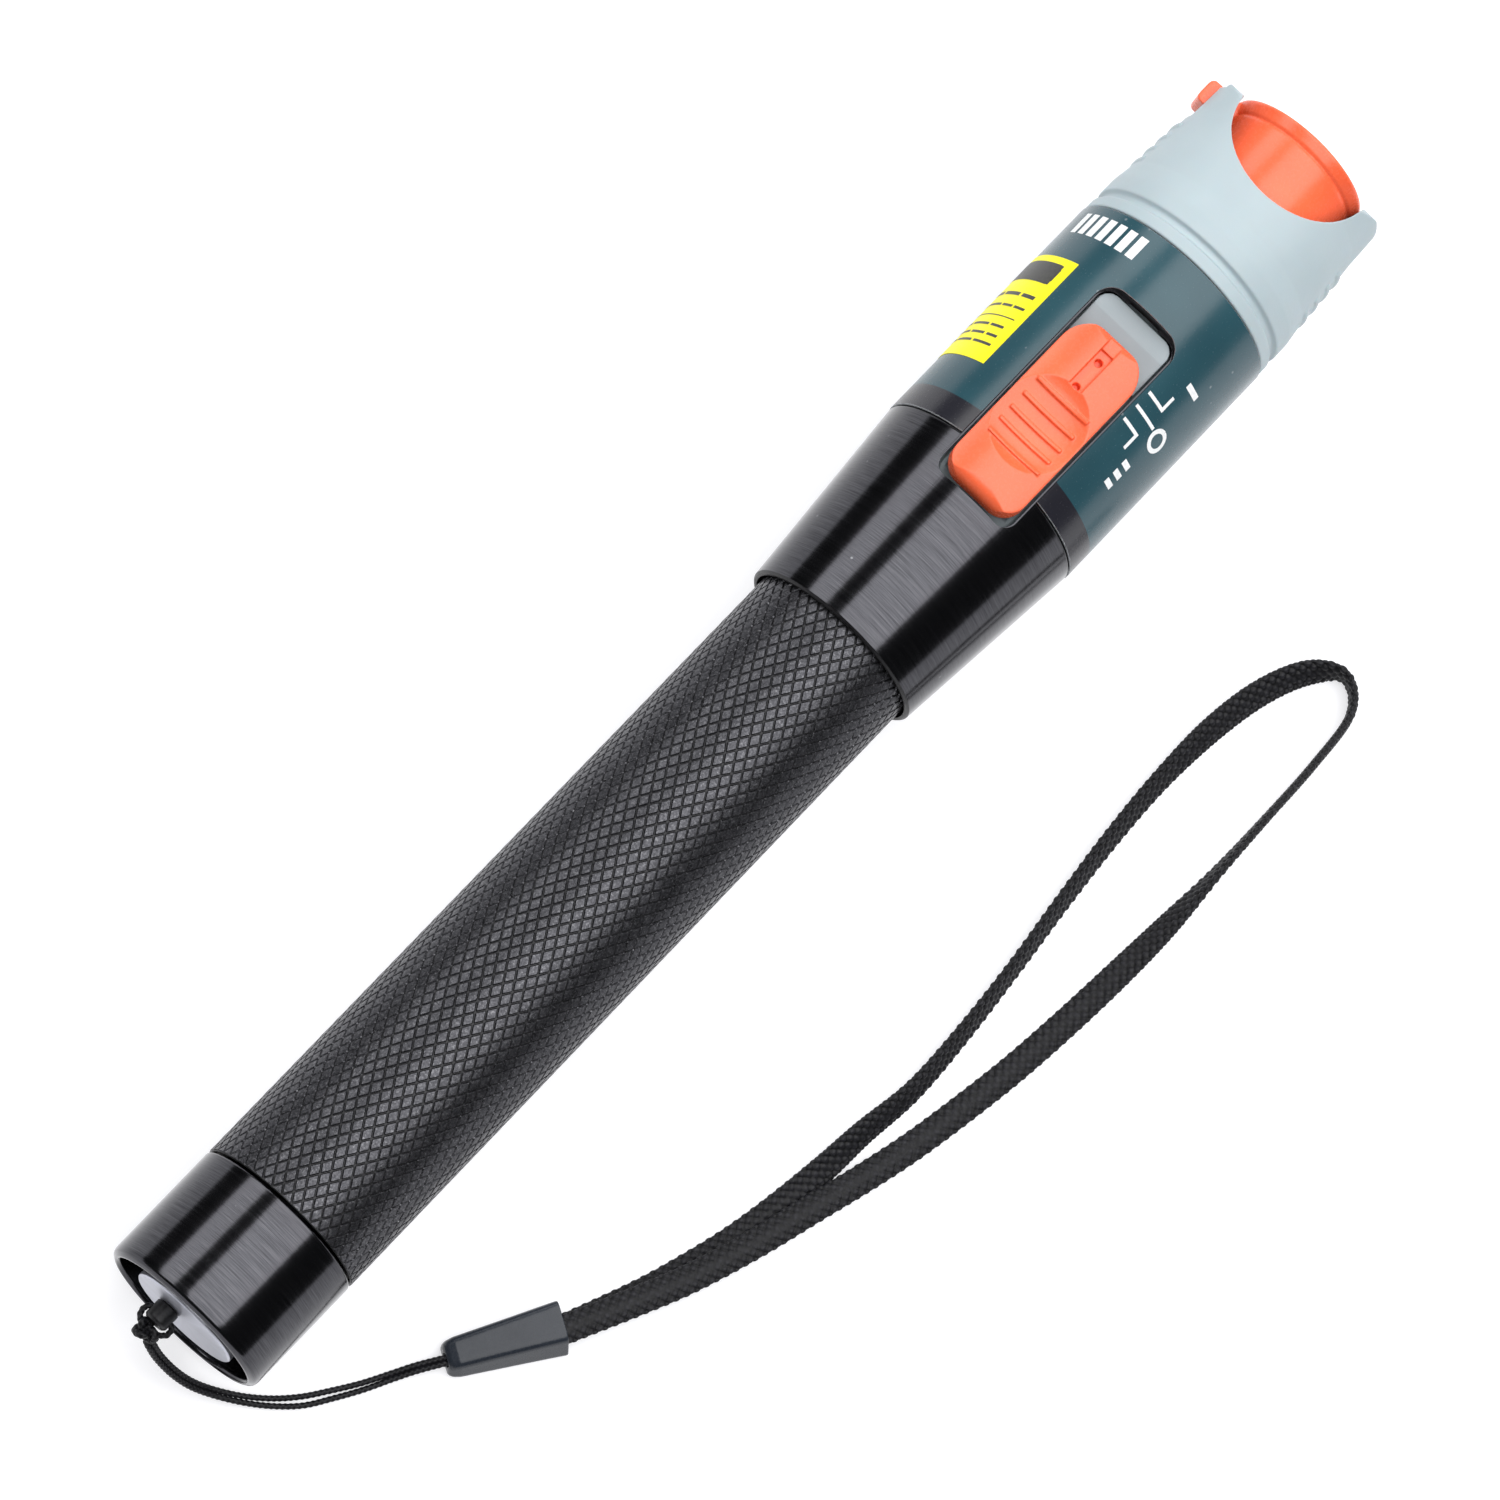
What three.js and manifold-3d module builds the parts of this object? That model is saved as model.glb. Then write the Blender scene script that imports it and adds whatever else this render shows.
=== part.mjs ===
// Pen-shaped fibre-optic fault finder with a hinged dust cap and a wrist lanyard.
// Millimetres. The tool lies along +X, its head towards +X and its slide button towards +Z.
// Stations along the tool are measured from the barrel's rear rim; the last lines move
// everything so that the origin is the centre of the bounding box's bottom face.
import * as THREE from "three";
import { mergeVertices } from "three/addons/utils/BufferGeometryUtils.js";
import Module from "manifold-3d";

const wasm = await Module();
wasm.setup();

// ---- driving dimensions -------------------------------------------------------------
const AXIS_HEIGHT = 13; // the tool's axis above the surface it lies on
const FLOOR = -AXIS_HEIGHT; // that surface, seen from the axis
const GAP = 0.3; // between faces of neighbouring pieces
const FINE = 40; // facets round the big turned pieces
const SMALL = 24; // facets round the small turned pieces

const TUBE = { r: 10.1, bore: 7.6, tail: -85, head: 14 };
const TAIL_CAP = { rim: -99.8, seam: -85.3, recess: 8.96, floor: -95.3, stubEnd: -76, stubR: 8.6 };
const DISC = { r: 6.45, face: -99.6 };
const POST = { r: 1.4, end: -101.9, y: 1.9, z: -0.6, eyeX: -100.75, eyeR: 0.65 };
const CELL = { r: 7.2, can: 49.3, nub: 1.1, nubR: 2.75, rear: -88.7, front: -38.0 };

const BARREL = { rearR: 11.05, seamR: 12.95, seam: 23.6, skinR: 12.7, bore: 11.2, end: 54.3 };
const WINDOW = { rear: 18.9, front: 46.9, half: 5.2, corner: 1.8 };
const WINDOW_LEDGE = 0.55; // the window is wider by this above the ledge
const LABEL = { inner: 12.75, outer: 13, rear: 23.9, front: 54.4, half: 5.8 };
const PATCH = { rear: 31.6, front: 46.9, from: 43, to: 105, inner: 13.02, outer: 13.08 };

const BUTTON = { rear: 19.3, front: 42.3, half: 4.85, bottom: 11.45, top: 14.7 };
const TRAVEL = 4; // the button's whole travel, over three positions
const STEM = { rear: 28, front: 33.8, half: 1.7 }; // the button's leg through the bed
const SCOOP = { x: 29.4, halfX: 5.7, halfY: 5.2, depth: 1.25, rise: 3 };
const RIB_STATIONS = [25.3, 27.2, 29.0, 31.0, 33.1];
const LEVER = { x: 30.5, half: 0.5 };
const BOARD = { rear: 18.7, front: 46.6, half: 8.6, bottom: -0.9, top: 0.7 };
const BOARD_SCREWS = [21.4, 44.4];

const PORT = { neck: 4, flange: 7.2, rear: 59.4, front: 69.6, bore: 1.3 };
const SHROUD = { rear: 54.7, tip: 75.7, bore: 9, hollow: 9.4, webRear: 61.8, webFront: 63.4 };
const NOTCH = { r: 8.8, x: 74.76 }; // the crown's two round cutouts
const CAP = { r: 8.25, inner: 7.4, flange: 8.75, crease: 74.2, front: 75.9, reach: 9.7 };
const KNUCKLE = { centre: 73.8, half: 1.5, low: 8.15, top: 12.7, wide: 2.0 };
const TONGUE = { flat: 3.2, back: 2.4, high: 7.8 }; // each prong's tip slopes back above and below
const HINGE = { x: 73.4, y: 10.1, pinR: 0.6, holeR: 0.66, half: 4.1, slot: 2.6 };

const CORD_R = 0.35;
const STRAP = { width: 3.3, thick: 1.1 };
const CLIP = { narrow: [-81.7, -22.5], wide: [-70.6, -29.1], narrowW: 4.2, wideW: 5.9, high: 3.4 };

// ---- materials ----------------------------------------------------------------------
const MATERIALS = {
  anodised: { color: 0x141416, roughness: 0.35, metalness: 0.9 },
  label: { color: 0x17383d, roughness: 0.5, metalness: 0 },
  yellow: { color: 0xf4e02a, roughness: 0.45, metalness: 0 },
  paleGrey: { color: 0xb9c8cf, roughness: 0.55, metalness: 0 },
  orange: { color: 0xf0563a, roughness: 0.4, metalness: 0 },
  nickel: { color: 0xb4b6bd, roughness: 0.35, metalness: 0.9 },
  steel: { color: 0x9a9ca0, roughness: 0.3, metalness: 1 },
  brass: { color: 0xc29a4a, roughness: 0.35, metalness: 1 },
  rubber: { color: 0x101010, roughness: 0.8, metalness: 0 },
  cellWrap: { color: 0x3d5a78, roughness: 0.35, metalness: 0.2 },
  insulator: { color: 0x222426, roughness: 0.6, metalness: 0 },
  board: { color: 0x1d5a34, roughness: 0.5, metalness: 0 },
  chip: { color: 0x18191b, roughness: 0.6, metalness: 0 },
  glass: { color: 0xdfe8ee, roughness: 0.05, metalness: 0 },
  ceramic: { color: 0xf1efe8, roughness: 0.3, metalness: 0 },
  slate: { color: 0x3b414b, roughness: 0.35, metalness: 0 },
  textile: { color: 0x17181b, roughness: 0.9, metalness: 0 },
};

const tool = new THREE.Group();

function add(name, geometry, material) {
  const mesh = new THREE.Mesh(geometry, new THREE.MeshStandardMaterial(MATERIALS[material]));
  mesh.name = name;
  tool.add(mesh);
}

// ---- solid helpers ------------------------------------------------------------------
function toSolid(geometry) {
  const plain = geometry.clone();
  plain.deleteAttribute("normal");
  plain.deleteAttribute("uv");
  const merged = mergeVertices(plain, 1e-3);
  return new wasm.Manifold(
    new wasm.Mesh({
      numProp: 3,
      vertProperties: new Float32Array(merged.attributes.position.array),
      triVerts: new Uint32Array(merged.index.array),
    }),
  );
}

function toGeometry(solid) {
  const mesh = solid.getMesh();
  const geometry = new THREE.BufferGeometry();
  geometry.setAttribute("position", new THREE.BufferAttribute(mesh.vertProperties, 3));
  geometry.setIndex(new THREE.BufferAttribute(mesh.triVerts, 1));
  return geometry;
}

function cut(geometry, ...tools) {
  return toGeometry(tools.reduce((left, t) => left.subtract(toSolid(t)), toSolid(geometry)));
}

function join(geometry, ...others) {
  return toGeometry(others.reduce((sum, t) => sum.add(toSolid(t)), toSolid(geometry)));
}

function common(geometry, other) {
  return toGeometry(toSolid(geometry).intersect(toSolid(other)));
}

// A turned piece: outline points are [station, radius], closed on the axis or on themselves.
function turned(outline, facets = FINE) {
  const points = outline.map(([x, r]) => new THREE.Vector2(r, x));
  const area = points.reduce((sum, p, i) => {
    const q = points[(i + 1) % points.length];
    return sum + p.x * q.y - q.x * p.y;
  }, 0);
  if (area < 0) points.reverse();
  return new THREE.LatheGeometry(points, facets).rotateZ(-Math.PI / 2);
}

// A turned ring or tube: the outline is closed by repeating its first point.
function ring(outline, facets = FINE) {
  return turned([...outline, outline[0]], facets);
}

function pipe(from, to, outer, inner, facets = FINE) {
  return ring([[from, inner], [from, outer], [to, outer], [to, inner]], facets);
}

function block(x0, x1, y0, y1, z0, z1) {
  return new THREE.BoxGeometry(x1 - x0, y1 - y0, z1 - z0)
    .translate((x0 + x1) / 2, (y0 + y1) / 2, (z0 + z1) / 2);
}

function rodAlongZ(x, y, r, z0, z1, facets = SMALL) {
  return new THREE.CylinderGeometry(r, r, z1 - z0, facets)
    .rotateX(Math.PI / 2)
    .translate(x, y, (z0 + z1) / 2);
}

function rodAlongY(x, z, r, y0, y1, facets = SMALL) {
  return new THREE.CylinderGeometry(r, r, y1 - y0, facets).translate(x, (y0 + y1) / 2, z);
}

// A rounded rectangle seen from above, with one corner radius at the rear and one at the front.
function plate(x0, x1, half, rearR, frontR, z0, z1) {
  const s = new THREE.Shape();
  s.absarc(x0 + rearR, half - rearR, rearR, Math.PI / 2, Math.PI);
  s.absarc(x0 + rearR, rearR - half, rearR, Math.PI, 1.5 * Math.PI);
  s.absarc(x1 - frontR, frontR - half, frontR, 1.5 * Math.PI, 2 * Math.PI);
  s.absarc(x1 - frontR, half - frontR, frontR, 0, Math.PI / 2);
  return new THREE.ExtrudeGeometry(s, { depth: z1 - z0, bevelEnabled: false, curveSegments: 6 })
    .translate(0, 0, z0);
}

function sweep(points, section, steps) {
  const path = new THREE.CatmullRomCurve3(points.map((p) => new THREE.Vector3(...p)));
  return new THREE.ExtrudeGeometry(section, { extrudePath: path, steps, bevelEnabled: false });
}

function roundSection(r, sides = 8) {
  const corners = [];
  for (let i = 0; i < sides; i++) {
    const a = (i * 2 * Math.PI) / sides;
    corners.push(new THREE.Vector2(r * Math.cos(a), r * Math.sin(a)));
  }
  return new THREE.Shape(corners);
}

// Thread crests, as rings one pitch apart: points for a turned outline.
function threadCrests(from, to, crest, depth, pitch) {
  const points = [];
  for (let x = from; x + pitch <= to; x += pitch) {
    points.push([x, crest - depth], [x + pitch / 2, crest]);
  }
  return points;
}

// ---- grip tube and tail -------------------------------------------------------------
function gripTube() {
  const mouth = 9.7; // room for the seal at the tail end
  const counterbore = TAIL_CAP.stubR + GAP;
  return ring([
    [TUBE.tail, mouth],
    [TUBE.tail, TUBE.r],
    [2, TUBE.r],
    ...threadCrests(2.6, TUBE.head, 9.6, 0.4, 2.2),
    [TUBE.head, 9.2],
    [TUBE.head, TUBE.bore],
    [TAIL_CAP.stubEnd + 1, TUBE.bore],
    [TAIL_CAP.stubEnd + 1, counterbore],
    [TUBE.tail + 1.4, counterbore],
    [TUBE.tail + 1.4, mouth],
  ]);
}

function tailCap() {
  const wall = -93.3;
  const cavity = 7.6;
  const edge = 0.9; // the rounded outer edge of the rim
  return ring([
    [wall, 3.3],
    [TAIL_CAP.floor, 3.3],
    [TAIL_CAP.floor, TAIL_CAP.recess],
    [TAIL_CAP.rim, TAIL_CAP.recess],
    [TAIL_CAP.rim, TUBE.r - edge],
    [TAIL_CAP.rim + 0.13 * edge, TUBE.r - 0.5 * edge],
    [TAIL_CAP.rim + 0.5 * edge, TUBE.r - 0.13 * edge],
    [TAIL_CAP.rim + edge, TUBE.r],
    [TAIL_CAP.seam, TUBE.r],
    [TAIL_CAP.seam, 8.2],
    ...threadCrests(-83.4, TAIL_CAP.stubEnd, TAIL_CAP.stubR, 0.35, 2.2),
    [TAIL_CAP.stubEnd, 8.2],
    [TAIL_CAP.stubEnd, cavity],
    [wall, cavity],
  ]);
}

function tailDisc() {
  const chamfer = 0.3;
  const boss = turned([
    [-92, 0],
    [-92, 3],
    [TAIL_CAP.floor - GAP, 3],
    [TAIL_CAP.floor - GAP, DISC.r],
    [DISC.face + chamfer, DISC.r],
    [DISC.face, DISC.r - chamfer],
    [DISC.face, 0],
  ]);
  return cut(boss, postStem(1.2, DISC.face - 1, DISC.face + 2));
}

function postStem(r, from, to) {
  return turned([[from, 0], [from, r], [to, r], [to, 0]], SMALL).translate(0, POST.y, POST.z);
}

function lanyardPost() {
  const base = DISC.face - 0.1;
  const body = join(postStem(POST.r, POST.end, base), postStem(0.95, base - 0.5, DISC.face + 1.7));
  return cut(body, rodAlongY(POST.eyeX, POST.z, POST.eyeR, POST.y - 3, POST.y + 3));
}

function tailSpring() {
  const turns = 3;
  const steps = 54;
  const from = -91.6;
  const rise = 2.3;
  const points = [];
  for (let i = 0; i <= steps; i++) {
    const a = (i / steps) * turns * 2 * Math.PI;
    const r = 5.6 - (i / steps) * 1.4;
    points.push([from + (rise * i) / steps, r * Math.cos(a), r * Math.sin(a)]);
  }
  return sweep(points, roundSection(0.3), steps);
}

function cell(x) {
  const can = x + CELL.can;
  const seal = 0.5;
  return turned([
    [x, 0],
    [x, CELL.r - 0.6],
    [x + seal, CELL.r],
    [can - seal, CELL.r],
    [can, CELL.r - 0.6],
    [can, CELL.nubR],
    [can + CELL.nub, CELL.nubR],
    [can + CELL.nub, 0],
  ], 32);
}

add("grip_tube", gripTube(), "anodised");
add("tail_cap", tailCap(), "anodised");
add("tail_disc", tailDisc(), "nickel");
add("lanyard_post", lanyardPost(), "anodised");
add("tail_contact", pipe(-93, -92.4, 6.8, 3.4, 32), "brass");
add("tail_spring", tailSpring(), "steel");
add("tail_o_ring", pipe(-84.85, -84, 9.5, 8.75), "rubber");
add("battery_rear", cell(CELL.rear), "cellWrap");
add("battery_front", cell(CELL.front), "cellWrap");

// ---- barrel, label and the contact behind it ----------------------------------------
function windowCut(grow, rear, bottom) {
  return plate(rear, WINDOW.front + grow, WINDOW.half + grow, WINDOW.corner, WINDOW.corner, bottom, 20);
}

function headBarrel() {
  const shell = ring([
    [0, 10.5],
    [0, BARREL.rearR - 0.25],
    [0.25, BARREL.rearR],
    [BARREL.seam, BARREL.seamR],
    [BARREL.seam, BARREL.skinR],
    [BARREL.end, BARREL.skinR],
    [BARREL.end, BARREL.bore],
    [14.6, BARREL.bore],
    [14.6, 9.9],
    [2.6, 9.9],
    [2.6, 10.5],
  ]);
  return cut(
    shell,
    windowCut(0, WINDOW.rear, 5),
    windowCut(WINDOW_LEDGE, WINDOW.rear - WINDOW_LEDGE / 2, 11),
  );
}

function labelSleeve() {
  const sleeve = pipe(LABEL.rear, LABEL.front, LABEL.outer, LABEL.inner);
  const front = WINDOW.front + WINDOW_LEDGE;
  return cut(sleeve, plate(10, front, LABEL.half, 1, WINDOW.corner, 5, 20));
}

// A blank printed panel, wrapped round the label from the top towards +Y.
function yellowPatch() {
  const step = 360 / FINE;
  const angles = [PATCH.from];
  for (let a = Math.ceil(PATCH.from / step) * step; a <= PATCH.to; a += step) angles.push(a);
  const at = (r, deg) => {
    const a = (deg * Math.PI) / 180;
    return new THREE.Vector2(-r * Math.cos(a), r * Math.sin(a));
  };
  const outer = angles.map((a) => at(PATCH.outer, a));
  const inner = angles.map((a) => at(PATCH.inner, a)).reverse();
  return new THREE.ExtrudeGeometry(new THREE.Shape([...outer, ...inner]), {
    depth: PATCH.front - PATCH.rear,
    bevelEnabled: false,
  })
    .rotateY(Math.PI / 2)
    .translate(PATCH.rear, 0, 0);
}

function frontContact() {
  return ring([[14.7, 1.2], [14.1, 1.2], [12.9, 1.9], [12.9, 2.6], [14.1, 5.2], [14.7, 5.2]], SMALL);
}

add("contact_carrier", pipe(14.9, 17.1, 10.8, 1.5), "insulator");
add("front_contact", frontContact(), "brass");
add("head_barrel", headBarrel(), "anodised");
add("label_sleeve", labelSleeve(), "label");
add("yellow_patch", yellowPatch(), "yellow");

// ---- slide switch -------------------------------------------------------------------
function switchBed() {
  const flange = block(17.4, 48.4, -6.5, 6.5, 7.6, 8.8);
  const inset = 0.25;
  const rear = WINDOW.rear + inset;
  const front = WINDOW.front - inset;
  const tray = plate(rear, front, WINDOW.half - inset, 1.6, 1.6, 8.2, 11.2);
  const dish = new THREE.CylinderGeometry(24, 24, 8.6, 64).scale(1, 1, 0.6)
    .translate((rear + front) / 2, 0, 10.15 + 24 * 0.6);
  const posts = BOARD_SCREWS.map((x) => rodAlongZ(x, 0, 1.8, 1, 8, 16));
  const holes = BOARD_SCREWS.map((x) => rodAlongZ(x, 0, 1.05, 0, 6, 16));
  const slot = block(STEM.rear - 0.8, STEM.front + TRAVEL + 0.6, -STEM.half - 0.5, STEM.half + 0.5, 5, 15);
  return cut(join(flange, tray, ...posts), dish, slot, ...holes);
}

function slideButton() {
  const edge = 0.55; // the rounded upper edge
  const { rear, front, half, bottom, top } = BUTTON;
  const skirt = plate(rear, front, half, 2.1, 3.6, bottom, top - edge);
  const crown = plate(rear + edge, front - edge, half - edge, 1.9, 3.2, top - edge - 0.1, top);
  const bowl = new THREE.SphereGeometry(1, 36, 20);
  const lift = SCOOP.rise; // the bowl's centre above the top face
  const deep = lift + SCOOP.depth;
  const spread = 1 / Math.sqrt(1 - (lift / deep) ** 2);
  bowl.scale(SCOOP.halfX * spread, SCOOP.halfY * spread, deep).translate(SCOOP.x, 0, top + lift);
  const floorAt = (x) => top + lift - deep * Math.sqrt(1 - ((x - SCOOP.x) / (SCOOP.halfX * spread)) ** 2);
  const ribs = RIB_STATIONS.map((x) =>
    block(x - 0.27, x + 0.27, -3.6, 3.6, bottom + 0.3, floorAt(x) + 0.35),
  );
  const groove = block(34.7, front + 1, -0.85, 0.85, top - 0.4, top + 1);
  const dots = [35.1, 38.9].map((x) => rodAlongZ(x, 0, 0.45, top - 1.6, top + 1, 16));
  const stem = block(STEM.rear, STEM.front, -STEM.half, STEM.half, 6.6, bottom + 0.2);
  const fork = block(LEVER.x - LEVER.half - 0.1, LEVER.x + LEVER.half + 0.1, -3, 3, 5, 8.8);
  const body = cut(join(skirt, crown), bowl, groove);
  return cut(join(body, ...ribs, stem), ...dots, fork);
}

function switchBody() {
  const reach = LEVER.half + 0.6; // room round the lever at both ends of its travel
  const slot = block(LEVER.x - reach, LEVER.x + TRAVEL + reach, -0.9, 0.9, 4, 6);
  return cut(block(25, 37.4, -3.2, 3.2, BOARD.top + 0.1, 5.4), slot);
}

function boardScrew(x) {
  const shank = rodAlongZ(x, 0, 0.9, BOARD.bottom - 0.7, 5.4, 16);
  const head = rodAlongZ(x, 0, 1.7, BOARD.bottom - 1.3, BOARD.bottom - 0.1, 16);
  const cross = [
    block(x - 1, x + 1, -0.2, 0.2, BOARD.bottom - 2, BOARD.bottom - 0.8),
    block(x - 0.2, x + 0.2, -1, 1, BOARD.bottom - 2, BOARD.bottom - 0.8),
  ];
  return cut(join(shank, head), ...cross);
}

function circuitBoard() {
  const sheet = block(BOARD.rear, BOARD.front, -BOARD.half, BOARD.half, BOARD.bottom, BOARD.top);
  return cut(sheet, ...BOARD_SCREWS.map((x) => rodAlongZ(x, 0, 1.05, -3, 3, 16)));
}

add("switch_bed", switchBed(), "paleGrey");
add("slide_button", slideButton(), "orange");
add("switch_body", switchBody(), "steel");
add("switch_lever", block(LEVER.x - LEVER.half, LEVER.x + LEVER.half, -0.7, 0.7, 4.3, 8.5), "insulator");
add("circuit_board", circuitBoard(), "board");
add("board_chip", block(38.4, 42, -2.6, 2.6, BOARD.top + 0.1, 2.1), "chip");
add("board_regulator", block(27, 33, -6.8, -3.4, BOARD.bottom - 1.8, BOARD.bottom - 0.1), "chip");
add("board_capacitor", rodAlongZ(36.5, 4.6, 2.5, -6.4, BOARD.bottom - 0.1), "steel");
add("board_screw_rear", boardScrew(BOARD_SCREWS[0]), "steel");
add("board_screw_front", boardScrew(BOARD_SCREWS[1]), "steel");

// ---- laser and port -----------------------------------------------------------------
function laserDiode() {
  const can = turned([[48.7, 0], [48.7, 2.8], [49.8, 2.8], [49.8, 1.8], [52.2, 1.8], [52.2, 0]], SMALL);
  const leads = [0, 120, 240].map((deg) => {
    const a = (deg * Math.PI) / 180;
    return turned([[47, 0], [47, 0.22], [49, 0.22], [49, 0]], 8)
      .translate(0, 1.3 * Math.sin(a), 1.3 * Math.cos(a));
  });
  return join(can, ...leads);
}

function laserHousing() {
  return ring([
    [48.4, 3.1], [48.4, 5], [55, 5], [55, 5.6], [59, 5.6], [59, 3.9],
    [53.2, 3.9], [53.2, 2.1], [50.1, 2.1], [50.1, 3.1],
  ], 32);
}

function laserLens() {
  const outline = [[53.6, 0], [53.6, 3.6], [54.4, 3.6]];
  for (const r of [2.7, 1.8, 0.9, 0]) outline.push([55.6 - (1.2 * r * r) / 12.96, r]);
  return turned(outline, SMALL);
}

function ferrulePort() {
  return ring([
    [PORT.rear, 1], [PORT.rear, PORT.flange], [61.5, PORT.flange], [61.5, PORT.neck],
    ...threadCrests(66.3, PORT.front - 0.4, PORT.neck, 0.3, 1.4),
    [PORT.front, PORT.neck - 0.3], [PORT.front, PORT.bore], [68.9, PORT.bore],
    [68.9, 1.8], [61.6, 1.8], [61.6, 1],
  ], 32);
}

function splitSleeve() {
  return cut(pipe(61.8, 68.7, 1.65, 1.28, SMALL), block(60, 70, -0.2, 0.2, 0, 3));
}

function portNut() {
  const grips = 18;
  const corners = [];
  for (let i = 0; i < 2 * grips; i++) {
    const a = (i * Math.PI) / grips;
    const r = i % 2 ? 5.3 : 5.8;
    corners.push(new THREE.Vector2(r * Math.cos(a), r * Math.sin(a)));
  }
  const body = new THREE.ExtrudeGeometry(new THREE.Shape(corners), { depth: 2, bevelEnabled: false })
    .rotateY(Math.PI / 2)
    .translate(63.7, 0, 0);
  return cut(body, turned([[63, 0], [63, 4.15], [66, 4.15], [66, 0]], 32));
}

add("laser_diode", laserDiode(), "nickel");
add("laser_housing", laserHousing(), "brass");
add("laser_lens", laserLens(), "glass");
add("lens_ring", pipe(55.9, 57.3, 3.6, 2.3, SMALL), "brass");
add("ferrule_port", ferrulePort(), "nickel");
add("split_sleeve", splitSleeve(), "ceramic");
add("port_nut", portNut(), "nickel");

// ---- front shroud and dust cap ------------------------------------------------------
// The ribs stand a little above the shroud's taper.
function ribCrest(x) {
  return 12.65 - 0.06 * (x - 62.6);
}

function sideRibs() {
  const bars = [62.6, 64.5, 66.4, 68.3].map((x) =>
    ring([[x - 0.6, 11.5], [x - 0.3, ribCrest(x)], [x + 0.3, ribCrest(x)], [x + 0.6, 11.5]]),
  );
  return bars.map((bar) => common(bar, block(60, 70, -14, 14, -3.5, 3.5)));
}

// What is cut from the prongs' tips on one side, seen along Y.
function tipSlope(side) {
  const { tip } = SHROUD;
  const root = tip - TONGUE.back;
  const corners = [
    [root, TONGUE.high], [tip, TONGUE.flat], [tip + 1, TONGUE.flat], [tip + 1, 14], [root, 14],
  ];
  const outline = new THREE.Shape(corners.map(([x, z]) => new THREE.Vector2(x, side * z)));
  return new THREE.ExtrudeGeometry(outline, { depth: 40, bevelEnabled: false })
    .rotateX(Math.PI / 2)
    .translate(0, 20, 0);
}

function frontShroud() {
  const { rear, tip, bore, hollow, webRear, webFront } = SHROUD;
  const shell = ring([
    [50.6, hollow], [50.6, 10.85], [rear, 10.85], [rear, 12.9], [56.1, 12.9],
    [56.4, 12.5], [57.1, 12.5], [57.5, 12.87], [59.5, 12.85], [62, 12.5],
    [67, 12.2], [71, 11.85], [tip - 0.5, 11.7], [tip, 11.2], [tip, bore],
    [webFront, bore], [webFront, PORT.neck + 0.35], [webRear, PORT.neck + 0.35], [webRear, hollow],
  ]);
  const notch = rodAlongZ(NOTCH.x, 0, NOTCH.r, -20, 20, 64);
  const mouth = block(NOTCH.x, 80, -NOTCH.r, NOTCH.r, -20, 20);
  const slot = block(HINGE.x - 3.2, 80, 7.5, 14, -HINGE.slot, HINGE.slot);
  const relief = block(tip - 0.9, 80, 7.5, 14, -4.2, 4.2); // clears the cap as it swings out
  const pinHole = rodAlongZ(HINGE.x, HINGE.y, HINGE.holeR, -HINGE.half - 0.2, HINGE.half + 0.2, 16);
  return cut(join(shell, ...sideRibs()), notch, mouth, slot, relief, pinHole,
    tipSlope(1), tipSlope(-1));
}

function flipCap() {
  const shell = turned([
    [CAP.front, 0],
    [CAP.front, CAP.flange],
    [CAP.crease, CAP.r],
    [NOTCH.x - CAP.reach, CAP.r],
    [NOTCH.x - CAP.reach, CAP.inner],
    [CAP.crease + 0.2, CAP.inner],
    [CAP.crease + 0.2, 0],
  ]);
  const cup = common(shell, rodAlongZ(NOTCH.x, 0, CAP.reach, -10, 10, 64));
  const { centre, half, low, top, wide } = KNUCKLE;
  const knuckle = plate(low, top, half, 0.1, 0.8, -wide, wide).rotateZ(Math.PI / 2)
    .translate(centre, 0, 0);
  return cut(join(cup, knuckle), rodAlongZ(HINGE.x, HINGE.y, HINGE.holeR, -4, 4, 16));
}

add("front_shroud", frontShroud(), "paleGrey");
add("flip_cap", flipCap(), "orange");
add("hinge_pin", rodAlongZ(HINGE.x, HINGE.y, HINGE.pinR, -HINGE.half, HINGE.half, 16), "steel");

// ---- lanyard ------------------------------------------------------------------------
// The thin cord goes through the post's eye, is knotted, and runs doubled to the clip.
const KNOT = [-102.9, 2, -1.3];
const CORD_LOOP = [
  [-102.5, 3.3, -1.15], [-101.8, 3.8, -0.95], [-100.95, 3.7, -0.65], [POST.eyeX, 3, POST.z],
  [POST.eyeX, 0.9, POST.z], [-100.95, 0.1, -0.65], [-101.7, -0.1, -1.0], [-102.4, 0.5, -1.3],
];
const CORD_RUN = [
  [-103.4, 0.4, -3.1], [-103.4, -0.8, -4.9], [-103.1, -2.8, -7.2], [-102.4, -4.9, -9.4],
  [-101.2, -7.1, -11.2], [-99.4, -9.9, -12.2], [-97.4, -12.4, FLOOR + 0.45],
  [-95.1, -14.6, FLOOR + 0.45], [-92.4, -16.4, FLOOR + 0.45], [-89.6, -18.1, FLOOR + 0.45],
  [-86.7, -19.6, FLOOR + 0.6], [-84.3, -20.9, FLOOR + 1], [-82.2, -22.2, FLOOR + 1.4],
];
const STRAND_SPREAD = 0.4; // each strand of the doubled cord lies this far off the middle line

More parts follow.
